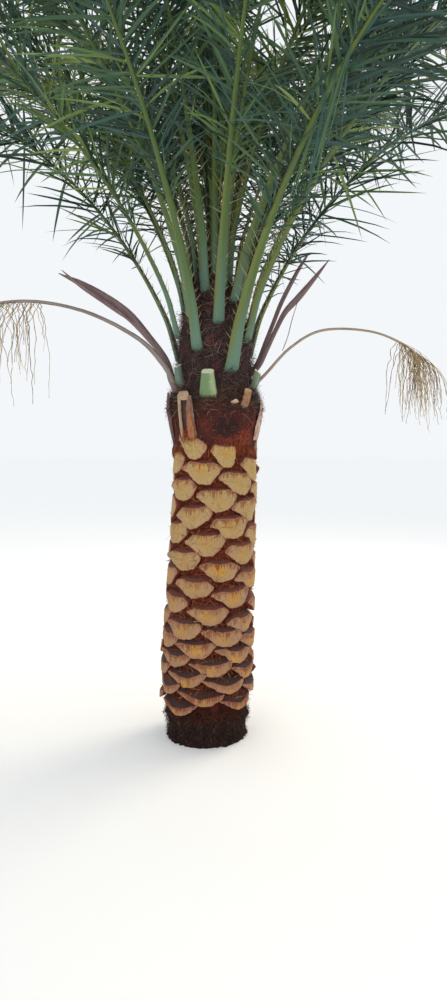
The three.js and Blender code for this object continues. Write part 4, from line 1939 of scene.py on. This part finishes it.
@dataclass
class Spears:
    """Unopened leaves: tight pleated bundles standing on the heart's tip.

    A place's row is a spear's azimuth, its lean in degrees and the height of its tip.
    """

    places: tuple[Triple, ...] = (
        (0.0, 0.0, 4.80), (35.0, 2.2, 4.55), (172.0, 2.8, 4.25), (-75.0, 3.6, 3.85), (110.0, 4.4, 3.6),
    )
    foot: float = 2.38
    blades: int = 90
    sides: int = 8
    rings: int = 14
    rod_tone: int = 5

    def build(self) -> None:
        rng = np.random.default_rng(97)
        mesh = MeshSketch()
        fronds = Fronds()
        for azimuth, lean, top in self.places:
            tilt = math.radians(lean)
            heading = ways(math.radians(azimuth))[0] * math.sin(tilt) + UP * math.cos(tilt)
            foot = CROWN_AXIS + UP * self.foot
            length = (top - self.foot) / heading[2]
            count = self.blades
            share = np.sort(rng.uniform(0.02, 0.9, count))
            root = foot + heading * (share * length)[:, None]
            spokes, _ = ways(rng.uniform(0, TURN, count))
            aim = unit(heading + spokes * rng.uniform(0.01, 0.05, count)[:, None])
            reach = np.minimum(rng.uniform(0.35, 0.55, count), (1 - share) * length + 0.03)
            half = 0.009 * rng.uniform(0.8, 1.1, count)
            tones = GREENS.deal(rng, count, 1.1)
            fronds.sketch_blades(mesh, rng, root + spokes * 0.008, aim, spokes, reach, half, tones)
            step = np.linspace(0, 1, self.rings)[:, None, None]
            spokes, _ = ways(TURN * np.arange(self.sides) / self.sides)
            rod = foot + heading * (step * length * 0.97) + spokes * (0.014 * (1 - step) + 0.003)
            mesh.add_sheets(rod, True, self.rod_tone)
            mesh.add_cap(rod[-1], False, self.rod_tone)
        declare(mesh.build("spear_leaflets", GREENS.materials()), ["spear_leaves"])


@dataclass
class Stubs:
    """Cut leaf stalks still standing on the collar and the heart.

    A green stub's row is its side, azimuth, the slant of its cut in millimetres and its stations.
    """

    green: tuple[tuple[str, float, float, Stations], ...] = (
        (
            "front", -97, 20,
            ((206, 1762, 92, 40), (232, 1788, 84, 40), (246, 1842, 70, 38), (254, 1890, 60, 32)),
        ),
        ("left", -147, 14, ((180, 1815, 74, 34), (206, 1850, 54, 32), (220, 1926, 40, 28))),
        ("right", -18, 20, ((180, 1800, 80, 34), (214, 1832, 58, 32), (234, 1905, 46, 30))),
        ("back_left", 129, 18, ((180, 1795, 92, 36), (216, 1830, 66, 32), (236, 1925, 52, 28))),
        ("back_right", 76, 16, ((180, 1850, 84, 36), (208, 1885, 62, 32), (226, 1975, 48, 28))),
    )
    dry_left: Stations = (
        (222, 1550, 14, 18), (242, 1600, 16, 16), (260, 1700, 18, 14), (268, 1772, 20, 14),
    )
    dry_right: Stations = (
        (222, 1566, 52, 20), (242, 1620, 48, 20), (258, 1700, 38, 18), (266, 1766, 24, 14),
    )
    dry_tongue: Stations = (
        (230, 1556, 42, 14), (252, 1610, 34, 14), (264, 1662, 18, 12), (268, 1705, 6, 8),
    )
    dry_cap: Stations = ((262, 1745, 52, 16), (270, 1768, 60, 20), (273, 1787, 58, 16))
    dry_hollow: Stations = ((214, 1570, 64, 8), (240, 1650, 56, 8), (256, 1760, 46, 8))
    brown: Stations = ((222, 1700, 56, 28), (250, 1740, 48, 26), (264, 1800, 42, 24))
    chip: Stations = ((236, 1728, 30, 8), (254, 1736, 40, 7), (262, 1746, 14, 6))

    def build_green(self) -> bpy.types.Object:
        """Builds the green stubs.

        Returns:
            The piece.
        """
        mesh = MeshSketch()
        for number, (_, azimuth, slant, stations) in enumerate(self.green):
            traits = {"rough": 0.012, "seed": 110 + number, "slant": slant, "roundness": 0.5}
            Limb(azimuth, stations, sides=24, steps=9, **traits).sketch(mesh, min(number, 1))
        fresh = StalkSkin(
            "fresh_stub", (86, 116, 86), (104, 130, 88), (156, 168, 124), (110, 124, 84), sunny_side=-1
        )
        dull = StalkSkin("dull_stub", (86, 106, 98), (94, 114, 100), (122, 138, 112), (98, 98, 80))
        return mesh.build("green_stubs", [fresh.material(), dull.material()])

    def build_dry(self) -> bpy.types.Object:
        """Builds the dry stub: two torn strips with a cap, a tongue between them and a hollow back.

        Returns:
            The piece.
        """
        strips = (
            (0, Limb(-132.5, self.dry_left, swing=3, rough=0.06, seed=121)),
            (1, Limb(-118.9, self.dry_right, swing=1.5, rough=0.06, seed=122, hollow=0.35)),
            (3, Limb(-117.6, self.dry_tongue, swing=1.5, sides=12, rough=0.09, seed=125)),
            (0, Limb(-123.3, self.dry_cap, sides=16, rough=0.05, seed=123, slant=8)),
            (2, Limb(-126.5, self.dry_hollow, swing=1, sides=12, rough=0.05, seed=124)),
        )
        finishes = (
            DryWood("dry_stub_pale", (184, 160, 134), (146, 116, 92), (98, 72, 58), (176, 150, 112)),
            DryWood("dry_stub_amber", (138, 110, 98), (116, 74, 54), (78, 48, 38), (158, 130, 104)),
            DryWood("dry_stub_hollow", (84, 52, 44), (56, 34, 32), (44, 28, 28), (70, 46, 40)),
            DryWood("dry_stub_orange", (168, 112, 72), (136, 80, 46), (92, 50, 34), (176, 128, 90)),
        )
        mesh = MeshSketch()
        for tone, strip in strips:
            strip.sketch(mesh, tone)
        return mesh.build("dry_stub_strips", [finish.material() for finish in finishes])

    def build_brown(self) -> bpy.types.Object:
        """Builds the brown stub and the chip beside it.

        Returns:
            The piece.
        """
        mesh = MeshSketch()
        Limb(-53, self.brown, swing=2.5, rough=0.04, seed=131, slant=14).sketch(mesh)
        Limb(-66, self.chip, sides=10, rough=0.1, seed=132).sketch(mesh, 1)
        wood = DryWood("brown_stub", (168, 124, 90), (118, 78, 56), (88, 58, 48), (184, 148, 114))
        pale = DryWood("pale_chip", (206, 174, 148), (172, 136, 112), (126, 94, 78), (206, 174, 148))
        return mesh.build("brown_stub_and_chip", [wood.material(), pale.material()])

    def build(self) -> None:
        declare(self.build_green(), [f"green_stub_{side}" for side, *_ in self.green])
        declare(self.build_dry(), ["dry_stub_left"])
        declare(self.build_brown(), ["brown_stub_right"])


@dataclass
class Spathes:
    """Dried flower sheaths, boat shaped and pointed.

    A row is the sheath's side, azimuth, how far its foot is turned forward and its stations.
    """

    rows: tuple[tuple[str, float, float, Stations], ...] = (
        (
            "left", 174, 36,
            (
                (216, 1790, 46, 24), (226, 1848, 42, 26), (252, 1957, 38, 24), (343, 2077, 42, 26),
                (449, 2194, 56, 26), (570, 2280, 60, 24), (700, 2362, 36, 16), (819, 2420, 5, 4),
            ),
        ),
        (
            "right_lower", 15, 0,
            (
                (150, 1850, 26, 18), (238, 1933, 28, 20), (285, 2025, 28, 20), (333, 2125, 28, 20),
                (386, 2222, 34, 18), (460, 2302, 40, 16), (555, 2415, 26, 10), (630, 2510, 4, 4),
            ),
        ),
        (
            "right_upper", 27, 0,
            (
                (150, 1850, 24, 16), (246, 1945, 26, 18), (305, 2070, 28, 18), (352, 2175, 28, 18),
                (404, 2290, 32, 16), (482, 2428, 30, 14), (540, 2520, 22, 8), (576, 2570, 8, 4),
            ),
        ),
    )
    roll: float = 66
    inner_half: Stations = (
        (420, 2158, 4, 6), (480, 2198, 20, 10), (570, 2262, 26, 12), (700, 2350, 20, 10),
        (790, 2426, 4, 4),
    )
    strip: Stations = (
        (363, 2020, 4, 4), (392, 2095, 5, 4), (414, 2180, 4, 4), (447, 2285, 3, 3),
    )

    def build(self) -> None:
        skin = DryWood("spathe_skin", (134, 112, 110), (104, 84, 86), (76, 58, 62), (130, 108, 104))
        finish = skin.material()
        for number, (side, azimuth, forward, stations) in enumerate(self.rows):
            mesh = MeshSketch()
            roll = self.roll if side == "left" else -self.roll
            traits = {"rough": 0.01, "roll": roll, "seed": 140 + number, "forward": forward}
            Limb(azimuth, stations, sides=20, steps=8, hollow=0.6, **traits).sketch(mesh)
            if side == "left":
                traits |= {"seed": 149, "forward": 0.0}
                Limb(azimuth + 3, self.inner_half, sides=12, hollow=0.5, **traits).sketch(mesh)
            if side == "right_lower":
                Limb(12, self.strip, sides=8, rough=0.1, seed=148).sketch(mesh)
            declare(mesh.build(f"spathe_{side}_boat", [finish]), [f"spathe_{side}"])


@dataclass
class FruitStalk:
    """An old fruit stalk that arches out of the crown, and the bare strands at its end."""

    side: str
    azimuth: float
    stations: Stations
    forward: float
    strand_count: int
    strand_span: Pair
    strand_length: Pair
    finish: DryWood
    seed: int
    steps: int = 10
    strand_steps: int = 16
    strand_sides: int = 4

    def build_stalk(self) -> bpy.types.Object:
        """Builds the stalk.

        Returns:
            The piece.
        """
        mesh = MeshSketch()
        traits = {"rough": 0.03, "seed": self.seed, "forward": self.forward}
        Limb(self.azimuth, self.stations, sides=10, steps=self.steps, **traits).sketch(mesh)
        return mesh.build(f"fruit_stalk_{self.side}_arch", [self.finish.material()])

    def build_strands(self) -> bpy.types.Object:
        """Builds the strands, thin kinked tubes that hang from the stalk's end.

        Returns:
            The piece.
        """
        rng = np.random.default_rng(self.seed + 7)
        rows = smooth_path(self.stations, self.steps) * MM
        count, steps, sides = self.strand_count, self.strand_steps, self.strand_sides
        share = rng.uniform(*self.strand_span, count) * (len(rows) - 1)
        reach, height = (np.interp(share, np.arange(len(rows)), rows[:, k])[:, None] for k in (0, 1))
        radial, tangent = ways(math.radians(self.azimuth))
        root = radial * reach + UP * height + CROWN_AXIS
        length = rng.uniform(*self.strand_length, count)
        out = rng.normal(0.25, 0.35, count)
        aside = rng.normal(0, 0.42, count)
        paths = [root]
        kink = rng.normal(0, 0.16, (steps, count, 2))
        for step in range(1, steps):
            fall = min(1.0, 0.25 + 1.1 * step / steps)
            heading = radial * (out * (1.15 - fall) + kink[step, :, 0])[:, None]
            heading = heading - tangent * (aside * (1.15 - fall) + kink[step, :, 1])[:, None]
            heading = unit(heading - UP * fall)
            paths.append(paths[-1] + heading * (length / steps)[:, None])
        middle = np.stack(paths, axis=1)
        girth = rng.uniform(0.0010, 0.0017, count)[:, None] * np.linspace(1.3, 0.6, steps)[None]
        knobs = 1 + 0.45 * (np.arange(steps) % 2)[None]
        angles = TURN * np.arange(sides)[::-1] / sides
        spokes = np.multiply.outer(np.cos(angles), radial) - np.multiply.outer(np.sin(angles), tangent)
        tubes = middle[:, :, None] + spokes * (girth * knobs)[..., None, None]
        mesh = MeshSketch()
        mesh.add_sheets(tubes, True, STRAND_TONES.deal(rng, count))
        return mesh.build(f"fruit_strands_{self.side}", STRAND_TONES.materials())

    def build(self) -> None:
        stalk = f"fruit_stalk_{self.side}"
        declare(self.build_stalk(), [f"{stalk}_rising", f"{stalk}_hanging"])
        declare(self.build_strands(), [f"strands_{self.side}"])


LEFT_FRUIT = FruitStalk(
    side="left",
    azimuth=189,
    stations=(
        (198, 1800, 36, 32), (272, 1935, 28, 28), (395, 2065, 20, 22), (640, 2185, 14, 18),
        (900, 2232, 12, 16), (1120, 2206, 11, 14), (1270, 2130, 9, 10),
    ),
    forward=13,
    strand_count=90,
    strand_span=(0.64, 1.0),
    strand_length=(0.22, 0.62),
    finish=DryWood("fruit_stalk_grey", (152, 140, 132), (112, 102, 96), (74, 64, 60)),
    seed=151,
)
RIGHT_FRUIT = FruitStalk(
    side="right",
    azimuth=3,
    stations=(
        (170, 1800, 26, 20), (262, 1890, 18, 16), (395, 2030, 13, 14), (560, 2118, 11, 13),
        (800, 2116, 10, 12), (980, 2052, 10, 12), (1100, 1960, 9, 10),
    ),
    forward=0,
    strand_count=90,
    strand_span=(0.8, 1.0),
    strand_length=(0.2, 0.46),
    finish=DryWood("fruit_stalk_tan", (174, 154, 134), (138, 120, 106), (98, 82, 72)),
    seed=171,
)


@dataclass
class Studio:
    """The pale floor, the soft lights and the camera at the photograph's height and angle.

    A light's row is its name, place, target, side in metres, power in watts and screen colour.
    """

    view_reach: float = 400.0
    floor_half: float = 150.0
    floor_drop: float = 0.0005
    floor_colour: Colour = (253, 253, 252)
    sky: Colour = (244, 247, 250)
    sky_strength: float = 1.0
    lights: tuple[tuple[str, Triple, Triple, float, float, Colour], ...] = (
        ("key", (3.4, 2.6, 6.8), (0, 0, 1.8), 3.0, 260, (255, 240, 214)),
        ("fill", (-2.4, -6.0, 3.6), (0, 0, 1.2), 3.5, 60, (255, 250, 240)),
    )

    def build_camera(self) -> None:
        """Makes the camera."""
        data = bpy.data.cameras.new("camera")
        data.lens = LENS_MM
        data.clip_end = self.view_reach
        camera = bpy.data.objects.new("camera", data)
        camera.location = LENS_PLACE
        camera.rotation_euler = (math.radians(90 - LENS_PITCH), 0, 0)
        bpy.context.scene.collection.objects.link(camera)
        bpy.context.scene.camera = camera

    def build_floor(self) -> None:
        """Makes the floor."""
        half = self.floor_half
        corners = [(-half, -half, 0), (half, -half, 0), (half, half, 0), (-half, half, 0)]
        mesh = MeshSketch()
        mesh.add(np.array(corners, float), np.array([[0, 1, 2, 3]]))
        finish = ShaderGraph("pale_floor").finish(self.floor_colour, 0.9, specular=0.1)
        floor = mesh.build("floor", [finish])
        floor.location.z = -self.floor_drop

    def build_lights(self) -> None:
        """Makes the pale sky and the lights."""
        world = bpy.data.worlds.new("pale_sky")
        world.use_nodes = True
        background = world.node_tree.nodes["Background"]
        background.inputs["Color"].default_value = paint(self.sky)
        background.inputs["Strength"].default_value = self.sky_strength
        bpy.context.scene.world = world
        for name, place, target, size, power, colour in self.lights:
            data = bpy.data.lights.new(name, "AREA")
            data.energy = power
            data.size = size
            data.color = paint(colour)[:3]
            light = bpy.data.objects.new(name, data)
            light.location = place
            light.rotation_euler = (Vector(target) - Vector(place)).to_track_quat("-Z", "Y").to_euler()
            bpy.context.scene.collection.objects.link(light)

    def build(self) -> None:
        """Builds the studio."""
        self.build_camera()
        self.build_floor()
        self.build_lights()
        bpy.context.scene.view_settings.view_transform = "Standard"


def main() -> None:
    """Builds the palm from the ground up."""
    logging.basicConfig(level=logging.INFO, format="%(name)s: %(message)s")
    Studio().build()
    crown = (Fronds(), Spears(), Stubs(), Spathes(), LEFT_FRUIT, RIGHT_FRUIT)
    for assembly in (Trunk(), Collar(), Heart(), *crown):
        assembly.build()


if __name__ == "__main__":
    main()
